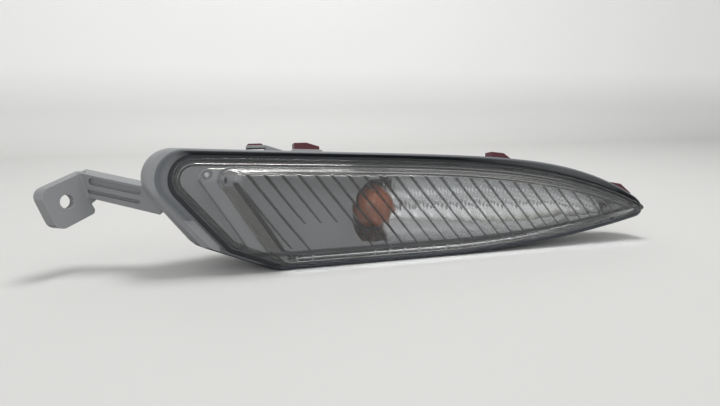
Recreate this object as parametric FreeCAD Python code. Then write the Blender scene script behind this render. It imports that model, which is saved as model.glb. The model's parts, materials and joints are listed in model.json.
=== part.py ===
import FreeCAD, Part
import math
import os
from collections import namedtuple
from FreeCAD import Placement, Rotation, Vector

# A vehicle indicator lamp: a stepped clear lens sealed into a moulded housing with a bracket arm,
# a bezel and a reflector behind the lens, and a bulb in a quarter-turn holder at the back.
# The parts are drawn square to the rim: x runs to the tip, y to the back, z up.
# They are then set down as one, leaning back on the flat underside, with the fixing hole as origin.
# Lengths are in millimetres and angles in degrees.

# Attitude of the lamp on its underside
LEAN = 12.0

# Outline laws shared by every level of the rim and the lens
SIDE_LEVEL = 24.0
REACH = 204.0
TOP_DROP = 23.0
RISE_POWER = 2.0
HEEL_SLOPE = 22.0
TIP_NOSE = 5.0
TOP_STATIONS = 6
RISE_STATIONS = 3
NOSE_FULLNESS = 0.75
NOSE_LIMIT = 0.75

# Rim of the housing
RIM_SIDE = -39.7
RIM_SLANT = 40.0
RIM_CROWN = 13.5
RIM_HEEL = 6.0
RIM_TOP = 52.5
RIM_FALL = 0.05
RIM_POWER = 5.6
RIM_FOOT = -2.6
RIM_RISE = 13.6
RIM_BEND = 80.0
RIM_TOE = 2.0
RIM_TIP = 205.5
RIM_PLATE = 2.5
RIM_SOFT = 0.8
OVERSHOOT = 1.0

# Lip of the rim outside the edge of the lens
LIP_SIDE = 8.0
LIP_TOP = 4.3
LIP_FOOT = 2.6
LIP_TIP = 2.0
LIP_TOE = 1.0
LIP_CREST = 0.4
LIP_FALL = 1.9
LENS_FALL = 0.045
SEAM_POWER = 4.2
SEAM_CROWN = 9.5
SEAM_HEEL = 5.0

# First ledge of the lens
LEDGE_1_SIDE = 7.7
LEDGE_1_TOP = 2.6
LEDGE_1_FOOT = 0.2
LEDGE_1_TIP = 2.0
LEDGE_1_TOE = 0.5
LEDGE_POWER = 4.0
LEDGE_CROWN = 6.5
INNER_SLANT = 32.0

# Second ledge of the lens
LEDGE_2_SIDE = 9.3
LEDGE_2_TOP = 1.2
LEDGE_2_FOOT = 0.4
LEDGE_2_TIP = 2.5
LEDGE_2_TOE = 1.5
SLOPE_POWER = 3.8
SLOPE_CROWN = 6.0
INNER_HEEL = 3.0

# Sloped wall up to the raised face
WALL_SIDE = 6.6
WALL_TOP = 2.0
WALL_TIP = 8.0
WALL_TOE = 3.0
FACE_POWER = 4.0
FACE_CROWN = 4.5
FACE_RISE = 9.0
ROLL = 4.7
ROLL_STEPS = 3

# Lens levels in depth, and its moulded thickness
LENS_WALL = 2.0
LEDGE_STEP = 2.3
BEAD_WIDTH = 1.1
BEAD_HEIGHT = 0.8
TONGUE = 2.2
TONGUE_DEPTH = 4.5

# Slanting ribs inside the face of the lens
RIB_PITCH = 7.35
RIB_WIDTH = 1.7
RIB_TAPER = 0.55
RIB_HEIGHT = 0.8
RIB_SLANT = 37.0
RIB_FIRST = -26.0
RIB_ROOT = 0.4
RIB_PASSES = 4
SHORT_RIBS = (3, 4, 5)
SHORT_RIB_FOOT = 18.0

# Channel for the tongue of the lens
SEAM_GAP = 2.0
SEAM_GAP_FOOT = 0.6
GROOVE_PLAY = 0.6
CHANNEL_WALL = 1.8
CHANNEL_DEPTH = 5.5
CHANNEL_FLOOR = 1.5
SEALANT_RECESS = 2.6

# Hull of the housing behind the rim
HULL_WALL = 2.5
BULGE_DEPTH = 11.5
BULGE_SIDE = -45.2
BULGE_SLANT = 38.0
BULGE_CROWN = 13.0
BULGE_TOP = 53.1
BULGE_FALL = 0.06
BULGE_TOE = -3.0
BULGE_TIP = 204.0
BULGE_STEPS = 3
TAPER_STEPS = 3
MID_DEPTH = 26.0
MID_SIDE = -36.0
MID_SLANT = 28.0
MID_CROWN = 14.0
MID_TOP = 47.5
MID_TOE = 2.0
MID_TIP = 152.0
MID_NOSE = 16.0
BACK_DEPTH = 42.0
BACK_SIDE = 14.0
BACK_SLANT = 8.0
BACK_CROWN = 10.0
BACK_TOP = 45.0
BACK_TOE = 26.0
BACK_TIP = 94.0
BACK_NOSE = 14.0
BACK_BEND = 60.0

# Notch in the lip at the lower left
NOTCH_LEFT = -42.0
NOTCH_RIGHT = -24.0
NOTCH_LOW = 6.0
NOTCH_HIGH = 22.5
NOTCH_LIP = 1.2
NOTCH_STEP = 0.4

# Bracket arm and fixing tab
CORNER_X = -82.6
CORNER_Y = 20.5
CORNER_Z = 46.7
ARM_LENGTH = 38.0
ARM_SWEEP = 13.0
ARM_CLIMB = 15.3
ARM_HEIGHT = 10.6
ARM_ROOT_HEIGHT = 11.8
ARM_ROLL = 20.0
ARM_LAP = 1.5
TAB_WIDTH = 20.0
TAB_HEIGHT = 19.5
TAB_TURN = 38.6
TAB_DIP = 24.9
TAB_ROLL = 5.0
TAB_CORNER = 4.5
TAB_HEEL = 2.0
TAB_STEP = 0.7
EAR_REACH = 2.8
EAR_DROP = 14.0
EAR_NOTCH = 1.2
EAR_SLANT = 0.9
BRACKET_PLATE = 4.0
BRACKET_SKIRT = 7.6
BRACKET_WALL = 2.2
BRACKET_FILLET = 0.6
FIXING_HOLE = 6.4
HOLE_ACROSS = 9.2
HOLE_DOWN = 9.0
RECESS_START = 4.0
RECESS_LENGTH = 24.0
RECESS_DEPTH = 1.4
RECESS_HIGH = (1.2, 4.6)
RECESS_LOW = (6.8, 8.8)

# Bezel panel behind the lens
BEZEL_SEAT = 2.8
BEZEL_PLATE = 1.9
BEZEL_CLEAR = 0.6
BEZEL_STEP = 2.2
BEZEL_LAND = 1.5
BROW_HEIGHT = 6.5
BROW_DEPTH = 3.6
BROW_LEFT = -12.0
BROW_RIGHT = 46.0
STAKE_X = -27.5
STAKE_Z = 42.3
STAKE_RADIUS = 1.5
STAKE_HEAD = 2.1
STAKE_DOME = 0.9
STAKE_PLAY = 0.2

# Window of the bezel and bowl of the reflector behind it
WINDOW_BORDER = 4.0
WINDOW_FOOT = 7.4
WINDOW_RISE = 9.0
WINDOW_TIP = 182.0
BOWL_X = 57.0
BOWL_Z = 20.0
BOWL_RADIUS = 19.5
REFLECTOR_WALL = 1.6
BOWL_DEPTH = 29.0
BOWL_START = 34.0
BOWL_FULL = 50.0
BOWL_RUN_POWER = 0.9
BOWL_END = 182.0
BOWL_END_DEPTH = 3.0
BOWL_STEPS = 4

# Bulb, on an axis square to the rim
BULB_X = 51.0
BULB_Z = 24.0
BULB_RADIUS = 10.3
BULB_NECK = 6.9
BULB_GLASS = 0.8
BALL_SWEEP = 118.0
BULB_HOLE_PLAY = 1.2
GLASS_LENGTH = 27.0
NECK_LENGTH = 6.5
CAP_RADIUS = 7.5
CAP_WALL = 0.4
CAP_LENGTH = 17.0
CAP_STAND = 4.5
CAP_GRIP = 4.5
PIN_BACK = 9.5
PIN_RADIUS = 1.0
PIN_STAND = 1.1
PIN_ANGLE = 150.0
INSULATOR_HEIGHT = 2.0
CONTACT_RADIUS = 2.2
CONTACT_HEIGHT = 1.2
STEM_RADIUS = 2.6
STEM_LENGTH = 5.5
LEAD_RADIUS = 0.35
LEAD_SPREAD = 3.0
LEAD_LENGTH = 9.0
COIL_RADIUS = 0.55

# Quarter-turn bulb holder in the back of the housing
HOLDER_SLEEVE = 11.6
HOLDER_BORE_PLAY = 0.4
HOLDER_DEPTH = 15.5
CAP_PLAY = 0.3
LUG_COUNT = 3
LUG_WIDTH = 6.0
LUG_REACH = 2.6
LUG_THICKNESS = 2.6
LUG_PLAY = 0.3
LUG_ANGLE = 90.0
QUARTER_TURN = 45.0
FLANGE_RADIUS = 15.0
FLANGE_PLATE = 2.4
GRIP_RADIUS = 10.6
GRIP_LENGTH = 7.0
GRIP_RIBS = 10
GRIP_RIB = 1.4
SEAL_INNER = 12.6
SEAL_OUTER = 14.6
SEAL_HEIGHT = 1.5
SEAL_PLAY = 0.3

# Connector socket and its two blades
SOCKET_WIDTH = 20.0
SOCKET_HEIGHT = 12.0
SOCKET_LENGTH = 13.0
SOCKET_WALL = 1.5
SOCKET_CORNER = 2.5
BLADE_WIDTH = 6.3
BLADE_THICK = 0.8
BLADE_PITCH = 9.0
BLADE_SHORT = 2.5
SPRING_THICK = 0.5
SPRING_WIDTH = 4.0

# Breather spigot and its rubber cap
VENT_X = 82.0
VENT_Z = 25.0
SPIGOT_RADIUS = 3.0
SPIGOT_BORE = 1.5
SPIGOT_LENGTH = 6.0
VENT_RADIUS = 4.6
VENT_LENGTH = 6.5
VENT_FLOOR = 1.6

# Clips along the top of the rim
CLIP_FRONT = 2.6
CLIP_BACK = 9.0
CLIP_SINK = 1.5
TONGUE_LEFT = -9.5
TONGUE_FLAT = 8.5
TONGUE_RUN = 17.6
TONGUE_RISE = 2.2
TONGUE_THICK = 1.2
PAD_LENGTH = 7.5
PAD_HEIGHT = 0.8
PLATE_LEFT = 11.5
PLATE_RIGHT = 25.5
PLATE_HEIGHT = 0.6
HOOK_LEFT = 12.3
HOOK_TOP = 5.8
HOOK_RUN = 11.9
HOOK_RISE = 2.9
HOOK_FALL = 0.9
HOOK_2_LEFT = 113.9
HOOK_2_TOP = 8.0
HOOK_2_RUN = 12.4
HOOK_2_RISE = 3.4
END_CLIP_LEFT = 187.5
END_CLIP_PEAK = 6.5
END_CLIP_RUN = 12.5
END_CLIP_RISE = 3.2
END_CLIP_STEP = 1.1
END_CLIP_FALL = 1.6

# Levels worked out from the values above
FLANGE_FRONT = -LENS_WALL
LEDGE_FRONT = FLANGE_FRONT - LEDGE_STEP
FACE_FRONT = LEDGE_FRONT - ROLL
BEZEL_FRONT = BEZEL_SEAT - BEZEL_PLATE
LUG_BACK = BACK_DEPTH - HULL_WALL - LUG_PLAY
HOLDER_FLANGE = BACK_DEPTH + SEAL_PLAY + SEAL_HEIGHT
GRIP_START = HOLDER_FLANGE + FLANGE_PLATE
GRIP_END = GRIP_START + GRIP_LENGTH
CAP_END = BACK_DEPTH + CAP_STAND
CAP_START = CAP_END - CAP_LENGTH
NECK_END = CAP_START + CAP_GRIP
NECK_START = NECK_END - NECK_LENGTH
BULB_TIP = NECK_START - GLASS_LENGTH
PIN_DEPTH = CAP_END - PIN_BACK
INSULATOR_END = CAP_END + INSULATOR_HEIGHT
STEM_TIP = NECK_START - STEM_LENGTH
LEAD_TIP = STEM_TIP - LEAD_LENGTH
HOLDER_START = CAP_END - HOLDER_DEPTH
CONTACT_END = INSULATOR_END + CONTACT_HEIGHT
SOCKET_END = GRIP_END + SOCKET_LENGTH

Edge = namedtuple("Edge", "side slant crown heel top fall power foot rise bend toe tip nose")


def tan(degrees):
    return math.tan(math.radians(degrees))


def sin(degrees):
    return math.sin(math.radians(degrees))


def cos(degrees):
    return math.cos(math.radians(degrees))


# Edge levels, each stepped in from the one outside it

def rim_edge():
    return Edge(RIM_SIDE, RIM_SLANT, RIM_CROWN, RIM_HEEL, RIM_TOP, RIM_FALL, RIM_POWER,
                RIM_FOOT, RIM_RISE, RIM_BEND, RIM_TOE, RIM_TIP, TIP_NOSE)


def seam_edge():
    rim = rim_edge()
    return rim._replace(side=rim.side + LIP_SIDE, crown=SEAM_CROWN, heel=SEAM_HEEL,
                        top=rim.top - LIP_TOP, fall=LENS_FALL, power=SEAM_POWER,
                        foot=rim.foot + LIP_FOOT, toe=rim.toe + LIP_TOE, tip=rim.tip - LIP_TIP)


def ledge_edge():
    seam = seam_edge()
    return seam._replace(side=seam.side + LEDGE_1_SIDE, slant=INNER_SLANT, crown=LEDGE_CROWN,
                         heel=INNER_HEEL, top=seam.top - LEDGE_1_TOP, power=LEDGE_POWER,
                         foot=seam.foot + LEDGE_1_FOOT, toe=seam.toe + LEDGE_1_TOE,
                         tip=seam.tip - LEDGE_1_TIP)


def slope_edge():
    ledge = ledge_edge()
    return ledge._replace(side=ledge.side + LEDGE_2_SIDE, crown=SLOPE_CROWN,
                          top=ledge.top - LEDGE_2_TOP, power=SLOPE_POWER,
                          foot=ledge.foot + LEDGE_2_FOOT, toe=ledge.toe + LEDGE_2_TOE,
                          tip=ledge.tip - LEDGE_2_TIP)


def face_edge():
    slope = slope_edge()
    return slope._replace(side=slope.side + WALL_SIDE, crown=FACE_CROWN, top=slope.top - WALL_TOP,
                          power=FACE_POWER, foot=slope.foot + ROLL, rise=FACE_RISE,
                          toe=slope.toe + WALL_TOE, tip=slope.tip - WALL_TIP)


def table_level(depth):
    """Height of the flat underside at a depth behind the rim plate."""
    return RIM_FOOT + (depth - RIM_PLATE) * tan(LEAN)


def bulge_edge():
    return rim_edge()._replace(side=BULGE_SIDE, slant=BULGE_SLANT, crown=BULGE_CROWN, top=BULGE_TOP,
                               fall=BULGE_FALL, foot=table_level(BULGE_DEPTH), toe=BULGE_TOE,
                               tip=BULGE_TIP, nose=TIP_NOSE)


def mid_edge():
    return rim_edge()._replace(side=MID_SIDE, slant=MID_SLANT, crown=MID_CROWN, top=MID_TOP,
                               foot=table_level(MID_DEPTH), toe=MID_TOE, tip=MID_TIP, nose=MID_NOSE)


def back_edge():
    return rim_edge()._replace(side=BACK_SIDE, slant=BACK_SLANT, crown=BACK_CROWN, top=BACK_TOP,
                               foot=table_level(BACK_DEPTH), toe=BACK_TOE, tip=BACK_TIP,
                               nose=BACK_NOSE, bend=BACK_BEND)


def inset(edge, distance, foot=None):
    """The edge drawn in by a distance, or out by a negative one, with its own step at the foot."""
    lift = distance if foot is None else foot
    return edge._replace(side=edge.side + distance / cos(edge.slant), top=edge.top - distance,
                         foot=edge.foot + lift, tip=edge.tip - distance,
                         toe=edge.toe + (distance / cos(HEEL_SLOPE) - lift) / tan(HEEL_SLOPE),
                         crown=max(edge.crown - distance, 1.0), heel=max(edge.heel - distance, 1.0))


def mixed(first, second, share, foot_share):
    """An edge between two others: foot and rise take their own share."""
    values = []
    for name, low, high in zip(Edge._fields, first, second):
        part = foot_share if name in ("foot", "rise") else share
        values.append(low + (high - low) * part)
    return Edge(*values)


def top_at(edge, x):
    return edge.top - edge.fall * x - TOP_DROP * max(x / REACH, 0.0) ** edge.power


def foot_at(edge, x):
    return edge.foot + edge.rise * max((x - edge.bend) / (edge.tip - edge.bend), 0.0) ** RISE_POWER


def slope_of(law, edge, x, step=0.01):
    return (law(edge, x + step) - law(edge, x - step)) / (2 * step)


def round_corner(corner, before, after, radius):
    """Start point, end point and arc-like curve of a rounded corner between two directions."""
    before = Vector(before).normalize()
    after = Vector(after).normalize()
    turn = before.getAngle(after)
    cut = radius * math.tan(turn / 2)
    handle = radius * 4 / 3 * math.tan(turn / 4)
    start = corner - before * cut
    end = corner + after * cut
    curve = Part.BezierCurve()
    curve.setPoles([start, start + before * handle, end - after * handle, end])
    return start, end, curve.toShape()


def spline(points, first, last):
    curve = Part.BSplineCurve()
    curve.interpolate(Points=points, InitialTangent=first, FinalTangent=last)
    return curve.toShape()


def outline(edge, depth):
    """Closed wire of an edge level at a depth, always in the same eight stretches."""
    def at(x, z):
        return Vector(x, depth, z)

    slant = tan(edge.slant)
    heel = tan(HEEL_SLOPE)
    crown_x = (edge.side - (edge.top - SIDE_LEVEL) * slant) / (1 - edge.fall * slant)
    crown = at(crown_x, edge.top - edge.fall * crown_x)
    heel_z = (edge.foot + (edge.toe - edge.side - SIDE_LEVEL * slant) * heel) / (1 - slant * heel)
    heel_point = at(edge.side + (SIDE_LEVEL - heel_z) * slant, heel_z)
    toe = at(edge.toe, edge.foot)
    bend = at(edge.bend, edge.foot)
    down_side = heel_point - crown
    along_heel = toe - heel_point
    along_top = at(-1.0, edge.fall) - at(0.0, 0.0)
    top_end, side_start, crown_arc = round_corner(crown, along_top, down_side, edge.crown)
    side_end, heel_start, heel_arc = round_corner(heel_point, down_side, along_heel, edge.heel)

    nose = edge.tip - edge.nose
    rise_points = []
    for i in range(RISE_STATIONS + 1):
        x = edge.bend + (nose - edge.bend) * i / RISE_STATIONS
        rise_points.append(at(x, foot_at(edge, x)))
    low_way = Vector(1, 0, slope_of(foot_at, edge, nose))
    rise = spline(rise_points, Vector(1, 0, 0), low_way)
    top_points = []
    for i in range(TOP_STATIONS + 1):
        x = nose + (top_end.x - nose) * i / TOP_STATIONS
        top_points.append(at(x, top_at(edge, x)))
    high_way = Vector(-1, 0, -slope_of(top_at, edge, nose))
    top_points[-1] = top_end
    top = spline(top_points, high_way, along_top)
    closing = (top_points[0].z - rise_points[-1].z) / (low_way.z + high_way.z)
    reach = min(edge.nose / NOSE_FULLNESS, NOSE_LIMIT * closing)
    tip = Part.BezierCurve()
    tip.setPoles([rise_points[-1], rise_points[-1] + low_way * reach,
                  top_points[0] - high_way * reach, top_points[0]])
    return Part.Wire([Part.makeLine(toe, bend), rise, tip.toShape(), top, crown_arc,
                      Part.makeLine(side_start, side_end), heel_arc, Part.makeLine(heel_start, toe)])


def prism(edge, front, back):
    return Part.Face(outline(edge, front)).extrude(Vector(0, back - front, 0))


def ring(outer, inner, front, back):
    return prism(outer, front, back).cut(prism(inner, front - OVERSHOOT, back + OVERSHOOT))


def box(x0, x1, y0, y1, z0, z1):
    return Part.makeBox(x1 - x0, y1 - y0, z1 - z0, Vector(x0, y0, z0))


def rod(x, z, radius, front, back):
    return Part.makeCylinder(radius, back - front, Vector(x, front, z), Vector(0, 1, 0))


def turned(profile, x, z):
    """Solid turned round an axis along y from a closed profile of (radius, depth) points and curves."""
    edges = []
    for start, through, end in profile:
        a = Vector(start[0], start[1], 0)
        b = Vector(end[0], end[1], 0)
        if through is None:
            edges.append(Part.makeLine(a, b))
        else:
            edges.append(Part.Arc(a, Vector(through[0], through[1], 0), b).toShape())
    face = Part.Face(Part.Wire(edges))
    solid = face.revolve(Vector(0, 0, 0), Vector(0, 1, 0), 360)
    solid.translate(Vector(x, 0, z))
    return solid


def straight_profile(points):
    """Profile of straight stretches through (radius, depth) points."""
    count = len(points)
    return [(points[i], None, points[(i + 1) % count]) for i in range(count)]


def extruded(points, front, back):
    """Straight prism of an outline of (x, z) points between two depths."""
    corners = [Vector(x, front, z) for x, z in points]
    face = Part.Face(Part.makePolygon(corners + corners[:1]))
    return face.extrude(Vector(0, back - front, 0))


# Edge of the groove that takes the tongue of the lens

def groove_outer():
    return inset(seam_edge(), -SEAM_GAP, -SEAM_GAP_FOOT)


def groove_inner():
    return inset(seam_edge(), TONGUE + GROOVE_PLAY)


def window_edge(grow):
    """Edge of the bezel's window: the face outline drawn in, with a higher foot and a shorter tip."""
    edge = inset(face_edge(), WINDOW_BORDER - grow)
    return edge._replace(foot=WINDOW_FOOT - grow, rise=WINDOW_RISE, tip=WINDOW_TIP + grow)


def window_prism(grow, front, back):
    """Window of the bezel, closed at the left by an arc round the bulb."""
    arc = rod(BOWL_X, BOWL_Z, BOWL_RADIUS + grow, front, back)
    run = box(BOWL_X, REACH, front, back, 0, RIM_TOP)
    return prism(window_edge(grow), front, back).common(arc.fuse(run))


# Housing

def hull_levels(back):
    """Edges and depths of the body behind the rim: it swells to the bulge, then tapers to the back."""
    levels = []
    for i in range(BULGE_STEPS):
        angle = 90.0 * i / BULGE_STEPS
        depth = RIM_PLATE + (BULGE_DEPTH - RIM_PLATE) * (1 - cos(angle))
        levels.append((mixed(rim_edge(), bulge_edge(), sin(angle), 0), depth))
    for i in range(TAPER_STEPS):
        angle = 90.0 * i / TAPER_STEPS
        depth = BULGE_DEPTH + (MID_DEPTH - BULGE_DEPTH) * sin(angle)
        levels.append((mixed(bulge_edge(), mid_edge(), 1 - cos(angle), 0), depth))
    levels.append((mid_edge(), MID_DEPTH))
    levels.append((back_edge(), back))
    return levels


def hull(wall, back):
    """Body behind the rim, drawn in by a wall, with its underside on one plane."""
    sections = []
    for edge, depth in hull_levels(back):
        level = inset(edge._replace(foot=table_level(depth)), wall)
        sections.append(outline(level, depth))
    return Part.makeLoft(sections, True, True)


def housing():
    front = rim_front()
    full = hull(0.0, BACK_DEPTH)
    floor = CHANNEL_DEPTH + CHANNEL_FLOOR
    channel = ring(inset(groove_outer(), -CHANNEL_WALL), inset(groove_inner(), CHANNEL_WALL), 0, floor)
    hollow = hull(HULL_WALL, BACK_DEPTH - HULL_WALL).cut(channel)
    body = front.fuse(full).cut(hollow)
    body = body.cut(ring(groove_outer(), groove_inner(), -OVERSHOOT, CHANNEL_DEPTH))
    body = body.cut(prism(groove_inner(), -OVERSHOOT, BEZEL_SEAT))
    post = rod(STAKE_X, STAKE_Z, STAKE_HEAD, BEZEL_SEAT, BACK_DEPTH).common(full)
    pin = rod(STAKE_X, STAKE_Z, STAKE_RADIUS, BEZEL_FRONT, BEZEL_SEAT)
    dome = rod(STAKE_X, STAKE_Z, STAKE_HEAD, BEZEL_FRONT - STAKE_DOME, BEZEL_FRONT)
    body = body.fuse([post, pin, dome])
    bore = rod(BULB_X, BULB_Z, HOLDER_SLEEVE + HOLDER_BORE_PLAY, MID_DEPTH, BACK_DEPTH + OVERSHOOT)
    body = body.cut(bore)
    body = body.cut(lugs(QUARTER_TURN, HOLDER_BORE_PLAY, MID_DEPTH, BACK_DEPTH + OVERSHOOT))
    spigot = rod(VENT_X, VENT_Z, SPIGOT_RADIUS, BACK_DEPTH - HULL_WALL, BACK_DEPTH + SPIGOT_LENGTH)
    body = body.fuse(spigot)
    body = body.cut(rod(VENT_X, VENT_Z, SPIGOT_BORE, MID_DEPTH, BACK_DEPTH + SPIGOT_LENGTH + OVERSHOOT))
    body = body.cut(lip_notch())
    body = body.fuse(bracket().cut(full))
    return body.fuse(tongue_ramp())


def rim_front():
    """Rim plate with a softened crest, its lip falling inward to the edge of the groove."""
    crest = inset(rim_edge(), RIM_SOFT)
    soft = Part.makeLoft([outline(crest, 0), outline(rim_edge(), RIM_SOFT)], True, True)
    plate = soft.fuse(prism(rim_edge(), RIM_SOFT, RIM_PLATE))
    slope = [outline(inset(crest, LIP_CREST), 0), outline(groove_outer(), LIP_FALL)]
    return plate.cut(Part.makeLoft(slope, True, True))


def lip_notch():
    """Stretch of the lip cut away at the lower left, down to a narrow edge beside the groove."""
    zone = box(NOTCH_LEFT, NOTCH_RIGHT, -OVERSHOOT, RIM_PLATE - NOTCH_STEP, NOTCH_LOW, NOTCH_HIGH)
    return zone.cut(prism(inset(groove_outer(), -NOTCH_LIP), -2 * OVERSHOOT, RIM_PLATE))


def rounded(points, radii):
    """Closed wire through (x, y) corners, each one rounded to its radius."""
    count = len(points)
    corners = [Vector(x, y, 0) for x, y in points]
    edges = []
    ends = []
    for i in range(count):
        before = corners[i] - corners[i - 1]
        after = corners[(i + 1) % count] - corners[i]
        ends.append(round_corner(corners[i], before, after, radii[i]))
    for i in range(count):
        edges.append(ends[i][2])
        edges.append(Part.makeLine(ends[i][1], ends[(i + 1) % count][0]))
    return Part.Wire(edges)


def tray(points, radii, frame):
    """Plate with a skirt behind it, and the hollow inside the skirt, placed in a frame."""
    skirt = Part.Face(rounded(points, radii)).extrude(Vector(0, 0, -BRACKET_SKIRT))
    middle_x = sum(x for x, y in points) / len(points)
    middle_y = sum(y for x, y in points) / len(points)
    inner = []
    for x, y in points:
        step_x = math.copysign(BRACKET_WALL, x - middle_x)
        step_y = math.copysign(BRACKET_WALL, y - middle_y)
        inner.append((x - step_x, y - step_y))
    tight = [max(radius - BRACKET_WALL, BRACKET_FILLET) for radius in radii]
    hollow = Part.Face(rounded(inner, tight)).extrude(Vector(0, 0, -BRACKET_SKIRT))
    skirt.Placement = frame
    hollow.Placement = frame.multiply(Placement(Vector(0, 0, -BRACKET_PLATE), Rotation()))
    return skirt, hollow


def facing(origin, along, towards):
    """Placement with its x along a direction and its z on the side that faces the viewer."""
    x = Vector(along).normalize()
    z = (towards - x * towards.dot(x)).normalize()
    y = z.cross(x)
    return Placement(FreeCAD.Matrix(x.x, y.x, z.x, origin.x,
                                    x.y, y.y, z.y, origin.y,
                                    x.z, y.z, z.z, origin.z,
                                    0, 0, 0, 1))


def corner_point():
    return Vector(CORNER_X, CORNER_Y, CORNER_Z)


def arm_frame():
    along = Vector(cos(ARM_CLIMB) * cos(ARM_SWEEP), -cos(ARM_CLIMB) * sin(ARM_SWEEP), -sin(ARM_CLIMB))
    return facing(corner_point(), along, Vector(0, -cos(ARM_ROLL), -sin(ARM_ROLL)))


def tab_frame():
    across = Vector(cos(TAB_DIP) * cos(TAB_TURN), cos(TAB_DIP) * sin(TAB_TURN), sin(TAB_DIP))
    face = Vector(sin(TAB_TURN), -cos(TAB_TURN), -tan(TAB_ROLL))
    return facing(corner_point(), across, face)


def hole_centre():
    return tab_frame().multVec(Vector(HOLE_ACROSS - TAB_WIDTH, -HOLE_DOWN, 0))


def hole_axis():
    return tab_frame().Rotation.multVec(Vector(0, 0, 1))


def bracket():
    """Arm and fixing tab: two open trays that meet at the corner, recesses along the arm, one hole."""
    arm_points = [(-ARM_LAP, 0), (-ARM_LAP, -ARM_HEIGHT), (ARM_LENGTH, -ARM_ROOT_HEIGHT), (ARM_LENGTH, 0)]
    tab_points = [(-TAB_WIDTH, 0), (-TAB_WIDTH, -TAB_HEIGHT), (-TAB_STEP, -TAB_HEIGHT),
                  (-EAR_NOTCH, -EAR_DROP - EAR_SLANT), (EAR_REACH, -EAR_DROP), (EAR_REACH, 0)]
    arm_radii = [BRACKET_FILLET] * 4
    tab_radii = [TAB_CORNER, TAB_CORNER, TAB_HEEL, BRACKET_FILLET, BRACKET_FILLET, BRACKET_FILLET]
    arm, arm_hollow = tray(arm_points, arm_radii, arm_frame())
    tab, tab_hollow = tray(tab_points, tab_radii, tab_frame())
    recesses = []
    for high, low in (RECESS_HIGH, RECESS_LOW):
        end = (low - high) / 2 - BRACKET_FILLET / 2
        points = [(RECESS_START, -high), (RECESS_START, -low),
                  (RECESS_START + RECESS_LENGTH, -low), (RECESS_START + RECESS_LENGTH, -high)]
        recess = Part.Face(rounded(points, [end] * 4)).extrude(Vector(0, 0, 2 * RECESS_DEPTH))
        recess.Placement = arm_frame().multiply(Placement(Vector(0, 0, -RECESS_DEPTH), Rotation()))
        recesses.append(recess)
    start = hole_centre() + hole_axis() * BRACKET_PLATE
    hole = Part.makeCylinder(FIXING_HOLE / 2, 3 * BRACKET_PLATE, start, hole_axis() * -1)
    return arm.fuse(tab).cut([arm_hollow, tab_hollow, hole] + recesses)


# Clips along the top of the rim

def rim_top(x):
    return top_at(rim_edge(), x)


def tongue_points():
    """Side view of the ramp tongue: fixed at its right end, free at its left."""
    base = rim_top(TONGUE_LEFT)
    right = TONGUE_LEFT + TONGUE_RUN
    high = base + TONGUE_RISE
    flat = TONGUE_LEFT + TONGUE_FLAT
    return [(TONGUE_LEFT, high - TONGUE_THICK), (TONGUE_LEFT, high), (flat, high),
            (right, rim_top(right)), (right, rim_top(right) - CLIP_SINK),
            (flat, rim_top(flat) - CLIP_SINK), (flat, high - TONGUE_THICK)]


def tongue_ramp():
    return extruded(tongue_points(), CLIP_FRONT, CLIP_BACK)


def tongue_pad():
    high = rim_top(TONGUE_LEFT) + TONGUE_RISE
    right = TONGUE_LEFT + PAD_LENGTH
    points = [(TONGUE_LEFT, high), (TONGUE_LEFT + PAD_HEIGHT, high + PAD_HEIGHT),
              (right - PAD_HEIGHT, high + PAD_HEIGHT), (right, high)]
    return extruded(points, CLIP_FRONT, CLIP_BACK)


def seated(solid, carrier):
    """A clip trimmed to the surface that it stands on."""
    pieces = solid.cut(carrier).Solids
    return max(pieces, key=lambda piece: piece.BoundBox.ZMax)


def spring_plate(carrier):
    left = rim_top(PLATE_LEFT)
    right = rim_top(PLATE_RIGHT)
    points = [(PLATE_LEFT, left - CLIP_SINK), (PLATE_LEFT, left + plate_lift()),
              (PLATE_RIGHT, right + plate_lift()), (PLATE_RIGHT, right - CLIP_SINK)]
    return seated(extruded(points, CLIP_FRONT, CLIP_BACK), carrier)


def plate_lift():
    """Height of the spring plate's top over the rim, clear of the bulge behind it."""
    return top_at(bulge_edge(), PLATE_LEFT) - rim_top(PLATE_LEFT) + PLATE_HEIGHT


def left_hook(carrier):
    left = rim_top(HOOK_LEFT) + plate_lift()
    run = HOOK_LEFT + HOOK_RUN
    points = [(HOOK_LEFT, left - PLATE_HEIGHT), (HOOK_LEFT, left + HOOK_RISE),
              (HOOK_LEFT + HOOK_TOP, left + HOOK_RISE), (run, left + HOOK_FALL),
              (run, rim_top(run) + plate_lift() - PLATE_HEIGHT)]
    return seated(extruded(points, CLIP_FRONT, CLIP_BACK), carrier)


def right_hook(carrier):
    left = HOOK_2_LEFT
    run = HOOK_2_LEFT + HOOK_2_RUN
    lift = top_at(bulge_edge(), left) - rim_top(left)
    points = [(left, rim_top(left) - CLIP_SINK), (left + HOOK_FALL, rim_top(left) + lift + HOOK_2_RISE),
              (left + HOOK_2_TOP, rim_top(left) + lift + HOOK_2_RISE - HOOK_FALL),
              (run, rim_top(run)), (run, rim_top(run) - CLIP_SINK)]
    return seated(extruded(points, CLIP_FRONT, CLIP_BACK), carrier)


def end_clip(carrier):
    left = END_CLIP_LEFT
    peak = END_CLIP_LEFT + END_CLIP_PEAK
    run = END_CLIP_LEFT + END_CLIP_RUN
    points = [(left, rim_top(left) - CLIP_SINK), (left, rim_top(left) + END_CLIP_STEP),
              (peak, rim_top(peak) + END_CLIP_RISE), (run, rim_top(run) + END_CLIP_FALL),
              (run, rim_top(run) - CLIP_SINK)]
    return seated(extruded(points, CLIP_FRONT, CLIP_BACK), carrier)


# Lens

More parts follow.
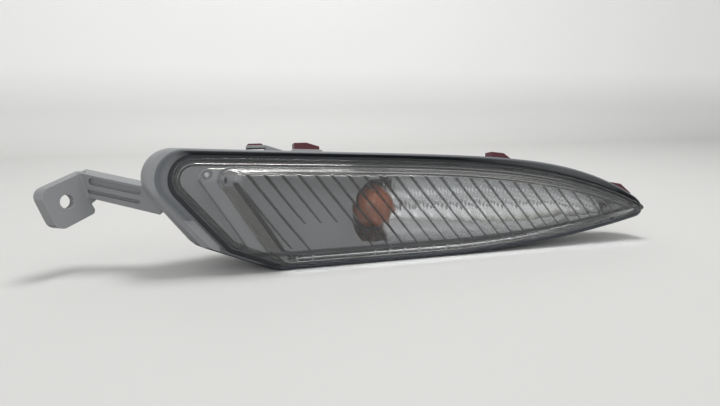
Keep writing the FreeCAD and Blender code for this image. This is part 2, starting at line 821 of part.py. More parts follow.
def lens_body(wall):
    """Raised part of the lens from the second ledge to the face, drawn in by a wall."""
    slope = inset(slope_edge(), wall)
    face = inset(face_edge(), wall, 0.0)
    radius = ROLL - wall
    sections = []
    for i in range(ROLL_STEPS + 1):
        angle = 90.0 * i / ROLL_STEPS
        edge = mixed(slope, face, sin(angle), 1 - cos(angle))
        sections.append(outline(edge, LEDGE_FRONT - radius * sin(angle)))
    return Part.makeLoft(sections, True, True)


def rib_knee(index):
    """Place where a slanting rib meets the rolled lower edge of the face."""
    face = face_edge()
    x = RIB_FIRST + RIB_PITCH * index
    z = foot_at(face, x)
    for _ in range(RIB_PASSES):
        x = RIB_FIRST + RIB_PITCH * index + (face.top - z) * tan(RIB_SLANT)
        z = foot_at(face, x)
    return x, z


def rib_section(x, z, width, height):
    """Section of a rib: a steep flank at the left and a slope that runs out to the right."""
    inside = FACE_FRONT + LENS_WALL
    points = [Vector(x, inside - RIB_ROOT, z), Vector(x, inside + height, z),
              Vector(x + width, inside, z), Vector(x + width, inside - RIB_ROOT, z)]
    return Part.makePolygon(points + points[:1])


def rib_bar(index):
    """One slanting wedge on the inside of the face, tapering from the top edge to its lower end."""
    face = face_edge()
    width = RIB_WIDTH / cos(RIB_SLANT)
    top_x = RIB_FIRST + RIB_PITCH * index
    low_x, low_z = rib_knee(index)
    if index in SHORT_RIBS:
        low_z = SHORT_RIB_FOOT
        low_x = top_x + (face.top - low_z) * tan(RIB_SLANT)
    high = rib_section(top_x - width / 2, face.top, width, RIB_HEIGHT)
    low = rib_section(low_x - width / 2, low_z, width * RIB_TAPER, RIB_HEIGHT * RIB_TAPER)
    return Part.makeLoft([high, low], True, True)


def rib_hook(index):
    """Lower end of a rib, bent round the inside of the rolled edge."""
    x, z = rib_knee(index)
    half = RIB_WIDTH * RIB_TAPER / 2
    outer = ROLL - LENS_WALL + RIB_ROOT
    inner = ROLL - LENS_WALL - RIB_HEIGHT * RIB_TAPER
    centre = Vector(x - half, LEDGE_FRONT, z)
    axis = Vector(1, 0, 0)
    bars = [Part.makeCylinder(radius, 2 * half, centre, axis) for radius in (outer, inner)]
    quarter = box(x - half, x + half, LEDGE_FRONT - ROLL, LEDGE_FRONT, z - ROLL, z)
    return bars[0].cut(bars[1]).common(quarter)


def lens():
    flange = prism(seam_edge(), FLANGE_FRONT, 0)
    ledge = prism(ledge_edge(), LEDGE_FRONT, FLANGE_FRONT)
    shell = flange.fuse([ledge, lens_body(0.0)])
    shell = shell.cut(lens_body(LENS_WALL))
    shell = shell.cut(prism(inset(slope_edge(), LENS_WALL), LEDGE_FRONT, OVERSHOOT))
    shell = shell.cut(prism(inset(ledge_edge(), LENS_WALL), LEDGE_FRONT + LENS_WALL, OVERSHOOT))
    tongue = ring(seam_edge(), inset(seam_edge(), TONGUE), 0, TONGUE_DEPTH)
    bead = ring(seam_edge(), inset(seam_edge(), BEAD_WIDTH), FLANGE_FRONT - BEAD_HEIGHT, FLANGE_FRONT)
    inside = FACE_FRONT + LENS_WALL
    field = prism(inset(face_edge(), LENS_WALL - RIB_ROOT, 0.0), inside - RIB_ROOT, inside + RIB_HEIGHT)
    edge = inset(face_edge(), LENS_WALL)
    count = int((RIM_TIP - RIB_FIRST) / RIB_PITCH)
    ribs = []
    for i in range(count):
        bar = rib_bar(i).common(field)
        if bar.Solids:
            ribs.extend(bar.Solids)
        x, z = rib_knee(i)
        if i not in SHORT_RIBS and edge.toe < x < edge.tip - edge.nose:
            ribs.append(rib_hook(i))
    return shell.fuse([tongue, bead] + ribs)


def lens_seal():
    bead = ring(groove_outer(), groove_inner(), SEALANT_RECESS, CHANNEL_DEPTH)
    return bead.cut(ring(seam_edge(), inset(seam_edge(), TONGUE), -OVERSHOOT, TONGUE_DEPTH))


# Bezel and reflector

def bezel():
    """Flat panel on the channel's inner wall, with a window, a brow and a raised land at the left."""
    edge = inset(groove_inner(), BEZEL_CLEAR)
    panel = prism(edge, BEZEL_FRONT, BEZEL_SEAT)
    face = inset(face_edge(), LENS_WALL + BEZEL_CLEAR)
    high = face.top
    brow = []
    for x in (BROW_LEFT, BROW_RIGHT):
        fall = face.fall * x
        points = [Vector(x, BEZEL_FRONT, high - BROW_HEIGHT - fall),
                  Vector(x, BEZEL_FRONT - BROW_DEPTH, high - fall),
                  Vector(x, BEZEL_FRONT, high - fall)]
        brow.append(Part.makePolygon(points + points[:1]))
    panel = panel.fuse([Part.makeLoft(brow, True, True), bezel_step()])
    panel = panel.cut(window_prism(0.0, BEZEL_FRONT - BROW_DEPTH - OVERSHOOT, BEZEL_SEAT + OVERSHOOT))
    pin_hole = rod(STAKE_X, STAKE_Z, STAKE_RADIUS + STAKE_PLAY, BEZEL_FRONT, BEZEL_SEAT + OVERSHOOT)
    pocket = rod(STAKE_X, STAKE_Z, STAKE_HEAD + STAKE_PLAY, FACE_FRONT, BEZEL_FRONT)
    return panel.cut([pin_hole, pocket])


def bezel_step():
    """Raised land of the bezel behind the second ledge of the lens, at the left end only."""
    front = BEZEL_FRONT - BEZEL_STEP
    land = prism(inset(ledge_edge(), LENS_WALL + BEZEL_CLEAR), front, BEZEL_FRONT)
    fall = [outline(inset(slope_edge(), -OVERSHOOT), front - OVERSHOOT),
            outline(inset(slope_edge(), BEZEL_LAND), BEZEL_FRONT)]
    left = box(RIM_SIDE - RIM_TOP, 0, front, BEZEL_FRONT, RIM_FOOT, RIM_TOP)
    pieces = land.cut(Part.makeLoft(fall, True, True)).common(left).Solids
    return max(pieces, key=lambda piece: piece.Volume)


def bowl_depth(x):
    """Depth of the bowl along the lamp: steep at the left of the bulb, then a long run out to the tip."""
    if x < BOWL_FULL:
        share = (BOWL_FULL - x) / (BOWL_FULL - BOWL_START)
        return BOWL_END_DEPTH + (BOWL_DEPTH - BOWL_END_DEPTH) * math.sqrt(1 - share ** 2)
    share = (x - BOWL_FULL) / (BOWL_END - BOWL_FULL)
    return BOWL_DEPTH + (BOWL_END_DEPTH - BOWL_DEPTH) * share ** BOWL_RUN_POWER


def bowl_section(x, wall):
    """Cross section of the bowl at a station along the lamp: a bowed back on a straight chord."""
    front = BEZEL_SEAT
    edge = window_edge(wall)
    handle = front + (bowl_depth(x) + wall) / NOSE_FULLNESS
    low = Vector(x, front, foot_at(edge, x))
    high = Vector(x, front, top_at(edge, x))
    curve = Part.BezierCurve()
    curve.setPoles([low, Vector(x, handle, low.z), Vector(x, handle, high.z), high])
    return Part.Wire([curve.toShape(), Part.makeLine(high, low)])


def bowl(wall):
    stations = []
    for i in range(BOWL_STEPS):
        stations.append(BOWL_FULL - (BOWL_FULL - BOWL_START) * cos(90.0 * i / BOWL_STEPS))
    for i in range(BOWL_STEPS + 1):
        stations.append(BOWL_FULL + (BOWL_END - BOWL_FULL) * i / BOWL_STEPS)
    return Part.makeLoft([bowl_section(x, wall) for x in stations], True, True)


def reflector():
    """Metallised bowl that butts against the bezel's back round the window, with a hole for the bulb."""
    outer = window_prism(REFLECTOR_WALL, BEZEL_SEAT, BACK_DEPTH).common(bowl(REFLECTOR_WALL))
    inner = window_prism(0.0, BEZEL_SEAT - OVERSHOOT, BACK_DEPTH).common(bowl(0.0))
    hole = rod(BULB_X, BULB_Z, HOLDER_SLEEVE + BULB_HOLE_PLAY, BEZEL_SEAT + BULB_RADIUS, BACK_DEPTH)
    return outer.cut(inner).cut(hole)


# Bulb

def ball_point(radius, angle):
    """Point on the bulb's ball, an angle away from its tip."""
    return (radius * sin(angle), BULB_TIP + BULB_RADIUS - radius * cos(angle))


def bulb_glass():
    outer = BULB_RADIUS
    inner = BULB_RADIUS - BULB_GLASS
    neck = BULB_NECK
    bore = BULB_NECK - BULB_GLASS
    profile = [(ball_point(outer, 0), ball_point(outer, BALL_SWEEP / 2), ball_point(outer, BALL_SWEEP)),
               (ball_point(outer, BALL_SWEEP), None, (neck, NECK_START)),
               ((neck, NECK_START), None, (neck, NECK_END)),
               ((neck, NECK_END), None, (bore, NECK_END)),
               ((bore, NECK_END), None, (bore, NECK_START)),
               ((bore, NECK_START), None, ball_point(inner, BALL_SWEEP)),
               (ball_point(inner, BALL_SWEEP), ball_point(inner, BALL_SWEEP / 2), ball_point(inner, 0)),
               (ball_point(inner, 0), None, ball_point(outer, 0))]
    return turned(profile, BULB_X, BULB_Z)


def bulb_cap():
    inner = CAP_RADIUS - CAP_WALL
    wide = CONTACT_RADIUS * 2
    points = [(BULB_NECK, CAP_START), (CAP_RADIUS, CAP_START), (CAP_RADIUS, CAP_END), (wide, CAP_END),
              (wide, CAP_END - CAP_WALL), (inner, CAP_END - CAP_WALL), (inner, NECK_END),
              (BULB_NECK, NECK_END)]
    cap = turned(straight_profile(points), BULB_X, BULB_Z)
    pins = []
    for angle in (0.0, PIN_ANGLE):
        way = Vector(cos(angle), 0, sin(angle))
        start = Vector(BULB_X, PIN_DEPTH, BULB_Z) + way * inner
        pins.append(Part.makeCylinder(PIN_RADIUS, CAP_WALL + PIN_STAND, start, way))
    return cap.fuse(pins)


def bulb_insulator():
    wide = CONTACT_RADIUS * 2
    points = [(0, CAP_END - CAP_WALL), (wide, CAP_END - CAP_WALL), (wide, CAP_END),
              (CONTACT_RADIUS, INSULATOR_END), (0, INSULATOR_END)]
    return turned(straight_profile(points), BULB_X, BULB_Z)


def bulb_contact():
    """Solder dome: the top of a ball that stands on the insulator."""
    ball = (CONTACT_RADIUS ** 2 + CONTACT_HEIGHT ** 2) / (2 * CONTACT_HEIGHT)
    whole = Part.makeSphere(ball, Vector(BULB_X, CONTACT_END - ball, BULB_Z))
    return whole.common(rod(BULB_X, BULB_Z, ball, INSULATOR_END, CONTACT_END + ball))


def bulb_stem():
    bore = BULB_NECK - BULB_GLASS
    points = [(0, STEM_TIP), (STEM_RADIUS, STEM_TIP), (STEM_RADIUS, NECK_START),
              (bore, NECK_END - CAP_WALL), (bore, NECK_END), (0, NECK_END)]
    return turned(straight_profile(points), BULB_X, BULB_Z)


def bulb_leads():
    """Two support wires standing on the stem."""
    wires = []
    for side in (-1, 1):
        foot = Vector(BULB_X + side * STEM_RADIUS / 2, STEM_TIP, BULB_Z)
        tip = Vector(BULB_X + side * LEAD_SPREAD, LEAD_TIP, BULB_Z)
        wires.append(Part.makeCylinder(LEAD_RADIUS, foot.distanceToPoint(tip), foot, tip - foot))
    stem = bulb_stem()
    return Part.makeCompound([wire.cut(stem) for wire in wires])


def bulb_filament():
    """Coiled filament drawn as one fine rod between the wires' tips."""
    rod_length = 2 * LEAD_SPREAD
    start = Vector(BULB_X - LEAD_SPREAD, LEAD_TIP, BULB_Z)
    coil = Part.makeCylinder(COIL_RADIUS, rod_length, start, Vector(1, 0, 0))
    return coil.cut(bulb_leads().Solids)


# Bulb holder lugs, also cut as notches

def lugs(turn, play, front, back):
    """Three blocks standing out of the holder's sleeve, or the notches that pass them."""
    bars = []
    for i in range(LUG_COUNT):
        reach = HOLDER_SLEEVE + LUG_REACH + play
        half = LUG_WIDTH / 2 + play
        bar = box(BULB_X, BULB_X + reach, front, back, BULB_Z - half, BULB_Z + half)
        bar.rotate(Vector(BULB_X, 0, BULB_Z), Vector(0, 1, 0), LUG_ANGLE + turn + 360.0 * i / LUG_COUNT)
        bars.append(bar)
    return bars


# Bulb holder

def socket_points(wall):
    """Corners of the connector socket, drawn in by a wall."""
    half_x = SOCKET_WIDTH / 2 - wall
    half_z = SOCKET_HEIGHT / 2 - wall
    return [(-half_x, -half_z), (half_x, -half_z), (half_x, half_z), (-half_x, half_z)]


def socket_block(wall, front, back):
    face = Part.Face(rounded(socket_points(wall), [SOCKET_CORNER - wall] * 4))
    block = face.extrude(Vector(0, 0, back - front))
    block.Placement = Placement(Vector(BULB_X, back, BULB_Z), Rotation(Vector(1, 0, 0), 90))
    return block


def bulb_holder():
    """Sleeve with lugs, flange and ribbed grip, and a connector socket at the back."""
    sleeve = rod(BULB_X, BULB_Z, HOLDER_SLEEVE, HOLDER_START, GRIP_START)
    flange = rod(BULB_X, BULB_Z, FLANGE_RADIUS, HOLDER_FLANGE, GRIP_START)
    grip = rod(BULB_X, BULB_Z, GRIP_RADIUS, GRIP_START, GRIP_END)
    ribs = []
    for i in range(GRIP_RIBS):
        rib = box(BULB_X, BULB_X + GRIP_RADIUS + GRIP_RIB, GRIP_START, GRIP_END,
                  BULB_Z - GRIP_RIB / 2, BULB_Z + GRIP_RIB / 2)
        rib.rotate(Vector(BULB_X, 0, BULB_Z), Vector(0, 1, 0), 360.0 * i / GRIP_RIBS)
        ribs.append(rib)
    socket = socket_block(0.0, GRIP_END, SOCKET_END)
    body = sleeve.fuse([flange, grip, socket] + ribs + lugs(0.0, 0.0, LUG_BACK - LUG_THICKNESS, LUG_BACK))
    front = HOLDER_START - OVERSHOOT
    pocket = rod(BULB_X, BULB_Z, CAP_RADIUS + CAP_PLAY, front, CONTACT_END + SPRING_THICK)
    body = body.cut([pocket, socket_block(SOCKET_WALL, GRIP_END, SOCKET_END + OVERSHOOT)])
    slots = []
    for angle in (0.0, PIN_ANGLE):
        reach = BULB_X + CAP_RADIUS + PIN_STAND + CAP_PLAY
        half = PIN_RADIUS + CAP_PLAY
        slot = box(BULB_X, reach, front, PIN_DEPTH + PIN_RADIUS, BULB_Z - half, BULB_Z + half)
        slot.rotate(Vector(BULB_X, 0, BULB_Z), Vector(0, 1, 0), -angle)
        slots.append(slot)
    return body.cut(slots).cut([live_terminal(), ground_terminal()])


def holder_seal():
    points = [(SEAL_INNER, BACK_DEPTH + SEAL_PLAY), (SEAL_OUTER, BACK_DEPTH + SEAL_PLAY),
              (SEAL_OUTER, HOLDER_FLANGE), (SEAL_INNER, HOLDER_FLANGE)]
    return turned(straight_profile(points), BULB_X, BULB_Z)


def blade(side):
    """Blade of the connector, through the floor of the socket."""
    x = BULB_X + side * BLADE_PITCH / 2
    return box(x - BLADE_THICK / 2, x + BLADE_THICK / 2, CONTACT_END, SOCKET_END - BLADE_SHORT,
               BULB_Z - BLADE_WIDTH / 2, BULB_Z + BLADE_WIDTH / 2)


def live_terminal():
    """Blade with a spring foot under the bulb's contact."""
    foot = box(BULB_X - BLADE_PITCH / 2, BULB_X + CONTACT_RADIUS, CONTACT_END, CONTACT_END + SPRING_THICK,
               BULB_Z - SPRING_WIDTH / 2, BULB_Z + SPRING_WIDTH / 2)
    return blade(-1).fuse(foot)


def ground_terminal():
    """Blade with a spring finger along the side of the bulb's cap."""
    x = BULB_X + BLADE_PITCH / 2
    wall = BULB_X + CAP_RADIUS
    low = BULB_Z - SPRING_WIDTH / 2
    high = BULB_Z + SPRING_WIDTH / 2
    back = CONTACT_END + SPRING_THICK
    foot = box(x, wall + SPRING_THICK, CONTACT_END, back, low, high)
    finger = box(wall, wall + SPRING_THICK, PIN_DEPTH + 2 * PIN_RADIUS, back, low, high)
    return blade(1).fuse([foot, finger]).cut(bulb_cap())


def vent_cap():
    stop = BACK_DEPTH + SPIGOT_LENGTH
    end = stop + VENT_FLOOR
    mouth = end - VENT_LENGTH
    points = [(0, stop), (SPIGOT_RADIUS, stop), (SPIGOT_RADIUS, mouth), (VENT_RADIUS, mouth),
              (VENT_RADIUS, end), (0, end)]
    return turned(straight_profile(points), VENT_X, VENT_Z)


def set_down():
    """Placement of the whole lamp on its underside, with the fixing hole at the origin."""
    lean = Rotation(Vector(1, 0, 0), -LEAN)
    return Placement(lean.multVec(hole_centre()) * -1, lean)


def main():
    os.makedirs("parts", exist_ok=True)
    shell = housing()
    plate = spring_plate(shell)
    nodes = {
        "housing": shell,
        "lens": lens(),
        "lens_seal": lens_seal(),
        "bezel": bezel(),
        "reflector": reflector(),
        "bulb_glass": bulb_glass(),
        "bulb_cap": bulb_cap(),
        "bulb_insulator": bulb_insulator(),
        "bulb_contact": bulb_contact(),
        "bulb_stem": bulb_stem(),
        "bulb_leads": bulb_leads(),
        "bulb_filament": bulb_filament(),
        "bulb_holder": bulb_holder(),
        "holder_seal": holder_seal(),
        "live_terminal": live_terminal(),
        "ground_terminal": ground_terminal(),
        "vent_cap": vent_cap(),
        "tongue_pad": tongue_pad(),
        "spring_plate": plate,
        "left_hook": left_hook(shell.fuse(plate)),
        "right_hook": right_hook(shell),
        "end_clip": end_clip(shell),
    }
    rest = set_down()
    for name, shape in nodes.items():
        shape.Placement = rest.multiply(shape.Placement)
        shape.exportStep("parts/" + name + ".step")


main()
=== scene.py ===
import json
import math

import bmesh
import bpy
import numpy as np
from mathutils import Euler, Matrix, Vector


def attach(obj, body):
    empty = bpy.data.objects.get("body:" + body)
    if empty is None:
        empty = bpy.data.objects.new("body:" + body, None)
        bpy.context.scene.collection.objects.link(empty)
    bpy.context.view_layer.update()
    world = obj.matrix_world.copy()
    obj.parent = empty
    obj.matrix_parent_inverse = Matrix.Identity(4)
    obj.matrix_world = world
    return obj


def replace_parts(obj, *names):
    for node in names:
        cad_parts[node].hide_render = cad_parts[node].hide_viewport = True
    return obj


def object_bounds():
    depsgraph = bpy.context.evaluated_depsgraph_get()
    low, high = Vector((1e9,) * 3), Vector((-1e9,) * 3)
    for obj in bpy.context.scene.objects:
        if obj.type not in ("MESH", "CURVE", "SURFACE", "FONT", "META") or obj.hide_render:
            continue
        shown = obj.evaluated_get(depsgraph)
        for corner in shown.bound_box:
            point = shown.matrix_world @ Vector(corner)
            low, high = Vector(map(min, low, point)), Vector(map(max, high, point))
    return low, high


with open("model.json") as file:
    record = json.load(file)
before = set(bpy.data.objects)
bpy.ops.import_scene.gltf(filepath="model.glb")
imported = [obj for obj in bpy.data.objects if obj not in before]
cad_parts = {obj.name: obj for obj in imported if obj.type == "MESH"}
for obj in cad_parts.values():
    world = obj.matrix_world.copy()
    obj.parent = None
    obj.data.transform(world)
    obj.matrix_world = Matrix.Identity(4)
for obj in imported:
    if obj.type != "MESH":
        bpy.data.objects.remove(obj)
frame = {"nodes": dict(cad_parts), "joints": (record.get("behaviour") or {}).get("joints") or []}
cad_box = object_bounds()
nodes = frame["nodes"]
scene = bpy.context.scene
scene.view_settings.view_transform = "Standard"

# Place of the lamp. Its parts are laid out square to the rim, and the lamp leans back on its underside.
# The bulb holder turns on an axis square to the rim, so its joint gives both the lean and a fixed point.
MM = 0.001
turn_joint = frame["joints"][0]
HOLDER_POINT = np.array(turn_joint["pos_m"])
BACKWARD = np.array(turn_joint["axis"])
ALONG = np.array([1.0, 0.0, 0.0])
UPWARD = np.cross(ALONG, BACKWARD)
BULB_ALONG = 51.0
BULB_HEIGHT = 24.0
BACK_WALL = 42.0


def in_lamp(along, depth, height):
    """Point of the row for millimetres along the lamp, behind the rim and above its foot: the holder's point
    plus the three offsets from it on the lamp's own axes."""
    along, depth, height = np.broadcast_arrays(along, depth, height)
    steps = (along - BULB_ALONG, depth - BACK_WALL, height - BULB_HEIGHT)
    axes = (ALONG, BACKWARD, UPWARD)
    offsets = [np.asarray(step, float)[..., None] * axis for step, axis in zip(steps, axes)]
    return HOLDER_POINT + MM * (offsets[0] + offsets[1] + offsets[2])


# Floor and wall: one pale sheet that lies flat under the lamp and curves up behind it.
# It is only the stage, so it carries no pattern beyond a faint unevenness of tone. Its wall glows a little.
FLOOR_WIDTH = 7.0
FLOOR_FRONT = -1.6
FLOOR_BACK = 0.52
WALL_BEND = 0.06
WALL_HEIGHT = 2.4
SWEEP_POINTS = 24
FLOOR_COLOUR = (0.735, 0.735, 0.73, 1)
FLOOR_SHADE = 0.97
FLOOR_CLOUDS = 3.0
FLOOR_ROUGHNESS = 0.62
WALL_GLOW = 0.335


def grid_mesh(name, points):
    """Mesh of a grid of points, rows by columns, with one quad between each four neighbours."""
    rows, columns = points.shape[:2]
    index = np.arange(rows * columns).reshape(rows, columns)
    corners = [index[:-1, :-1], index[:-1, 1:], index[1:, 1:], index[1:, :-1]]
    quads = np.stack(corners, axis=-1).reshape(-1, 4)
    mesh = bpy.data.meshes.new(name)
    mesh.from_pydata(points.reshape(-1, 3).tolist(), [], quads.tolist())
    mesh.polygons.foreach_set("use_smooth", np.ones(len(quads), bool))
    mesh.update()
    return mesh


def new_piece(name, mesh, material):
    """Object at the origin with one mesh and one material."""
    piece = bpy.data.objects.new(name, mesh)
    mesh.materials.clear()
    mesh.materials.append(material)
    scene.collection.objects.link(piece)
    return piece


def new_material(name, colour, roughness, metallic=0.0):
    """Material with one Principled shader; returns it with its tree, shader and object coordinates."""
    material = bpy.data.materials.new(name)
    material.use_nodes = True
    tree = material.node_tree
    shader = tree.nodes["Principled BSDF"]
    shader.inputs["Base Color"].default_value = colour
    shader.inputs["Roughness"].default_value = roughness
    shader.inputs["Metallic"].default_value = metallic
    place = tree.nodes.new("ShaderNodeTexCoord").outputs["Object"]
    return material, tree, shader, place


def shaded(colour, factor):
    """Colour made darker or paler by a factor."""
    return [c * factor for c in colour[:3]] + [1]


def noise(tree, place, scale, detail=2.0, roughness=0.5):
    """Soft noise over a place, from 0 to 1."""
    speckle = tree.nodes.new("ShaderNodeTexNoise")
    speckle.inputs["Scale"].default_value = scale
    speckle.inputs["Detail"].default_value = detail
    speckle.inputs["Roughness"].default_value = roughness
    tree.links.new(place, speckle.inputs["Vector"])
    return speckle.outputs["Fac"]


def ranged(tree, value, start, full, low=0.0, high=1.0):
    """Value carried from the range start to full onto low to high, and held at both ends."""
    carry = tree.nodes.new("ShaderNodeMapRange")
    limits = {"From Min": start, "From Max": full, "To Min": low, "To Max": high}
    for label, limit in limits.items():
        carry.inputs[label].default_value = limit
    tree.links.new(value, carry.inputs["Value"])
    return carry.outputs["Result"]


def reckon(tree, operation, *terms, clamp=False):
    """Sum, product or the like of sockets and plain numbers."""
    sum_node = tree.nodes.new("ShaderNodeMath")
    sum_node.operation = operation
    sum_node.use_clamp = clamp
    for socket, term in zip(sum_node.inputs, terms):
        if isinstance(term, float):
            socket.default_value = term
        else:
            tree.links.new(term, socket)
    return sum_node.outputs["Value"]


def blend_colours(tree, mask, first, second):
    """Colour that goes from the first to the second as the mask goes from 0 to 1."""
    mix = tree.nodes.new("ShaderNodeMix")
    mix.data_type = "RGBA"
    mix.inputs["A"].default_value = first
    mix.inputs["B"].default_value = second
    tree.links.new(mask, mix.inputs["Factor"])
    return mix.outputs["Result"]


def sweep_points(count):
    """Profile of the stage: flat from the front to the bend, a quarter circle, then straight up."""
    ground = cad_box[0].z
    flat = np.linspace(FLOOR_FRONT, FLOOR_BACK, count)
    arc = np.linspace(0, math.pi / 2, count)[1:]
    rise = np.linspace(ground + WALL_BEND, ground + WALL_HEIGHT, count)[1:]
    wall = np.full(count - 1, FLOOR_BACK + WALL_BEND)
    depth = np.concatenate([flat, FLOOR_BACK + WALL_BEND * np.sin(arc), wall])
    height = np.concatenate([np.full(count, ground), ground + WALL_BEND * (1 - np.cos(arc)), rise])
    return depth, height


floor_paint, tree, shader, place = new_material("floor_paint", FLOOR_COLOUR, FLOOR_ROUGHNESS)
tone = noise(tree, place, FLOOR_CLOUDS)
paint = blend_colours(tree, tone, shaded(FLOOR_COLOUR, FLOOR_SHADE), FLOOR_COLOUR)
tree.links.new(paint, shader.inputs["Base Color"])
tree.links.new(paint, shader.inputs["Emission Color"])
level = tree.nodes.new("ShaderNodeSeparateXYZ")
tree.links.new(place, level.inputs["Vector"])
ground = cad_box[0].z
on_wall = ranged(tree, level.outputs["Z"], ground, ground + 2 * WALL_BEND, 0.0, WALL_GLOW)
seen = tree.nodes.new("ShaderNodeLightPath")
glow = reckon(tree, "MULTIPLY", on_wall, seen.outputs["Is Camera Ray"])
tree.links.new(glow, shader.inputs["Emission Strength"])
depth, height = sweep_points(SWEEP_POINTS)
sides = np.array([-FLOOR_WIDTH / 2, FLOOR_WIDTH / 2])
sheet = np.empty((2, len(depth), 3))
sheet[..., 0] = HOLDER_POINT[0] + sides[:, None]
sheet[..., 1] = depth
sheet[..., 2] = height
floor = new_piece("floor", grid_mesh("floor", sheet), floor_paint)

# Light and camera: a soft light above and a little behind, a weaker one at the front left, pale surroundings.
# The camera stands in front of the lamp's left half, a hand's breadth above it, looking slightly down.
SURROUND = (0.80, 0.80, 0.79, 1)
AMBIENT = 0.66
LIGHT_AIM = (75.0, 10.0, 25.0)
CEILING_LIGHT = {"offset": (0.06, 0.16, 0.85), "width": 0.32, "power": 4.2, "colour": (1.0, 0.99, 0.97)}
FRONT_LIGHT = {"offset": (-0.55, -0.75, 0.55), "width": 0.55, "power": 0.9, "colour": (0.97, 0.985, 1.0)}
CAMERA_OFFSET = (-78.76, -283.48, 61.26)
CAMERA_HEADING = 16.0
CAMERA_PITCH = 11.31
CAMERA_LENS = 27.0
CAMERA_SENSOR = 36.0
CAMERA_NEAR = 0.01

world = bpy.data.worlds.new("surround")
world.use_nodes = True
scene.world = world
tree = world.node_tree
background = tree.nodes["Background"]
background.inputs["Color"].default_value = SURROUND
seen = tree.nodes.new("ShaderNodeLightPath")
mirrored = reckon(tree, "MAXIMUM", seen.outputs["Is Glossy Ray"], seen.outputs["Is Transmission Ray"])
bright = reckon(tree, "MAXIMUM", seen.outputs["Is Camera Ray"], mirrored)
tree.links.new(ranged(tree, bright, 0.0, 1.0, AMBIENT, 1.0), background.inputs["Strength"])


def soft_light(name, offset, width, power, colour):
    """Square area light at an offset from the lamp's middle, aimed at it."""
    light = bpy.data.lights.new(name, "AREA")
    light.size = width
    light.energy = power
    light.color = colour
    stand = bpy.data.objects.new(name, light)
    stand.location = Vector(in_lamp(*LIGHT_AIM).tolist()) + Vector(offset)
    stand.rotation_euler = (-Vector(offset)).to_track_quat("-Z", "Y").to_euler()
    scene.collection.objects.link(stand)


soft_light("ceiling_light", **CEILING_LIGHT)
soft_light("front_light", **FRONT_LIGHT)

view = bpy.data.cameras.new("camera")
view.lens = CAMERA_LENS
view.sensor_width = CAMERA_SENSOR
view.sensor_fit = "HORIZONTAL"
view.clip_start = CAMERA_NEAR
camera = bpy.data.objects.new("camera", view)
camera.location = HOLDER_POINT + MM * np.array(CAMERA_OFFSET)
camera.rotation_euler = Euler((math.radians(90.0 - CAMERA_PITCH), 0.0, -math.radians(CAMERA_HEADING)))
scene.collection.objects.link(camera)
scene.camera = camera

# Housing: one moulding in mid-grey filled polypropylene with the bracket arm and the fixing tab on it.
# The tool is lightly spark-grained, so the skin is matt with a soft sheen, and edges are rubbed paler.
# The lip and the underside are darker with painted shade, and the melted stake head is painted pale as
# painted light.
HOUSING_GREY = (0.325, 0.333, 0.348, 1)
HOUSING_RUBBED = (0.53, 0.535, 0.545, 1)
# Painted shade colours for the lip and the underside, and a painted light for the stake head.
LIP_SHADE_NAVY = (0.145, 0.156, 0.174, 1)
LIP_DEPTH = (0.4, 2.0)
UNDER_SHADE_GREY = (0.19, 0.195, 0.205, 1)
UNDER_START = (-0.10, -0.50)
UNDER_SHADE_NAVY = (0.030, 0.036, 0.046, 1)
UNDER_LEAN = (-0.55, -0.92)
LOWER_LIP = (1.6, 0.4)
FOOT_BEND = 80.0
FOOT_END = 205.5
FOOT_RISE = 13.6
STAKE_PAINTED_LIGHT = (0.62, 0.62, 0.62, 1)
STAKE_PLACE = (-27.5, -0.9, 42.3)
STAKE_SPOT = (1.5, 1.2)
FINE_DETAIL = 3.0
CLOUD_DETAIL = 4.0
CLOUDING = (0.86, 1.14)
SHEEN = (-0.07, 0.09)
GRAIN_DEPTH = 0.0002
EDGE_SAMPLES = 6
EDGE_TURN = (0.995, 0.90)
MERGE_GAP = 2e-6


def shader_group(name, inputs, outputs):
    """Empty node group with named sockets; returns it with its input and output nodes."""
    group = bpy.data.node_groups.new(name, "ShaderNodeTree")
    for label, kind, value in inputs:
        socket = group.interface.new_socket(name=label, in_out="INPUT", socket_type=kind)
        if value is not None:
            socket.default_value = value
    for label, kind in outputs:
        group.interface.new_socket(name=label, in_out="OUTPUT", socket_type=kind)
    return group, group.nodes.new("NodeGroupInput"), group.nodes.new("NodeGroupOutput")


# Moulded grain: fine noise for the spark texture and broad noise for uneven flow of the plastic.
grain_group, given, put = shader_group(
    "moulded_grain",
    [("Place", "NodeSocketVector", None),
     ("Grain", "NodeSocketFloat", 900.0),
     ("Clouds", "NodeSocketFloat", 18.0)],
    [("Height", "NodeSocketFloat"), ("Cloud", "NodeSocketFloat")],
)
for scale, detail, label in (("Grain", FINE_DETAIL, "Height"), ("Clouds", CLOUD_DETAIL, "Cloud")):
    speckle = grain_group.nodes.new("ShaderNodeTexNoise")
    speckle.inputs["Detail"].default_value = detail
    grain_group.links.new(given.outputs["Place"], speckle.inputs["Vector"])
    grain_group.links.new(given.outputs[scale], speckle.inputs["Scale"])
    grain_group.links.new(speckle.outputs["Fac"], put.inputs[label])

# Soft edge: normals rounded over a small radius, and a mask of where they turn away from the flat face.
edge_group, given, put = shader_group(
    "soft_edge",
    [("Radius", "NodeSocketFloat", 0.0005)],
    [("Normal", "NodeSocketVector"), ("Edge", "NodeSocketFloat")],
)
rounding = edge_group.nodes.new("ShaderNodeBevel")
rounding.samples = EDGE_SAMPLES
edge_group.links.new(given.outputs["Radius"], rounding.inputs["Radius"])
facing = edge_group.nodes.new("ShaderNodeNewGeometry")
match = edge_group.nodes.new("ShaderNodeVectorMath")
match.operation = "DOT_PRODUCT"
edge_group.links.new(rounding.outputs["Normal"], match.inputs[0])
edge_group.links.new(facing.outputs["Normal"], match.inputs[1])
edge_group.links.new(rounding.outputs["Normal"], put.inputs["Normal"])
edge_group.links.new(ranged(edge_group, match.outputs["Value"], *EDGE_TURN), put.inputs["Edge"])


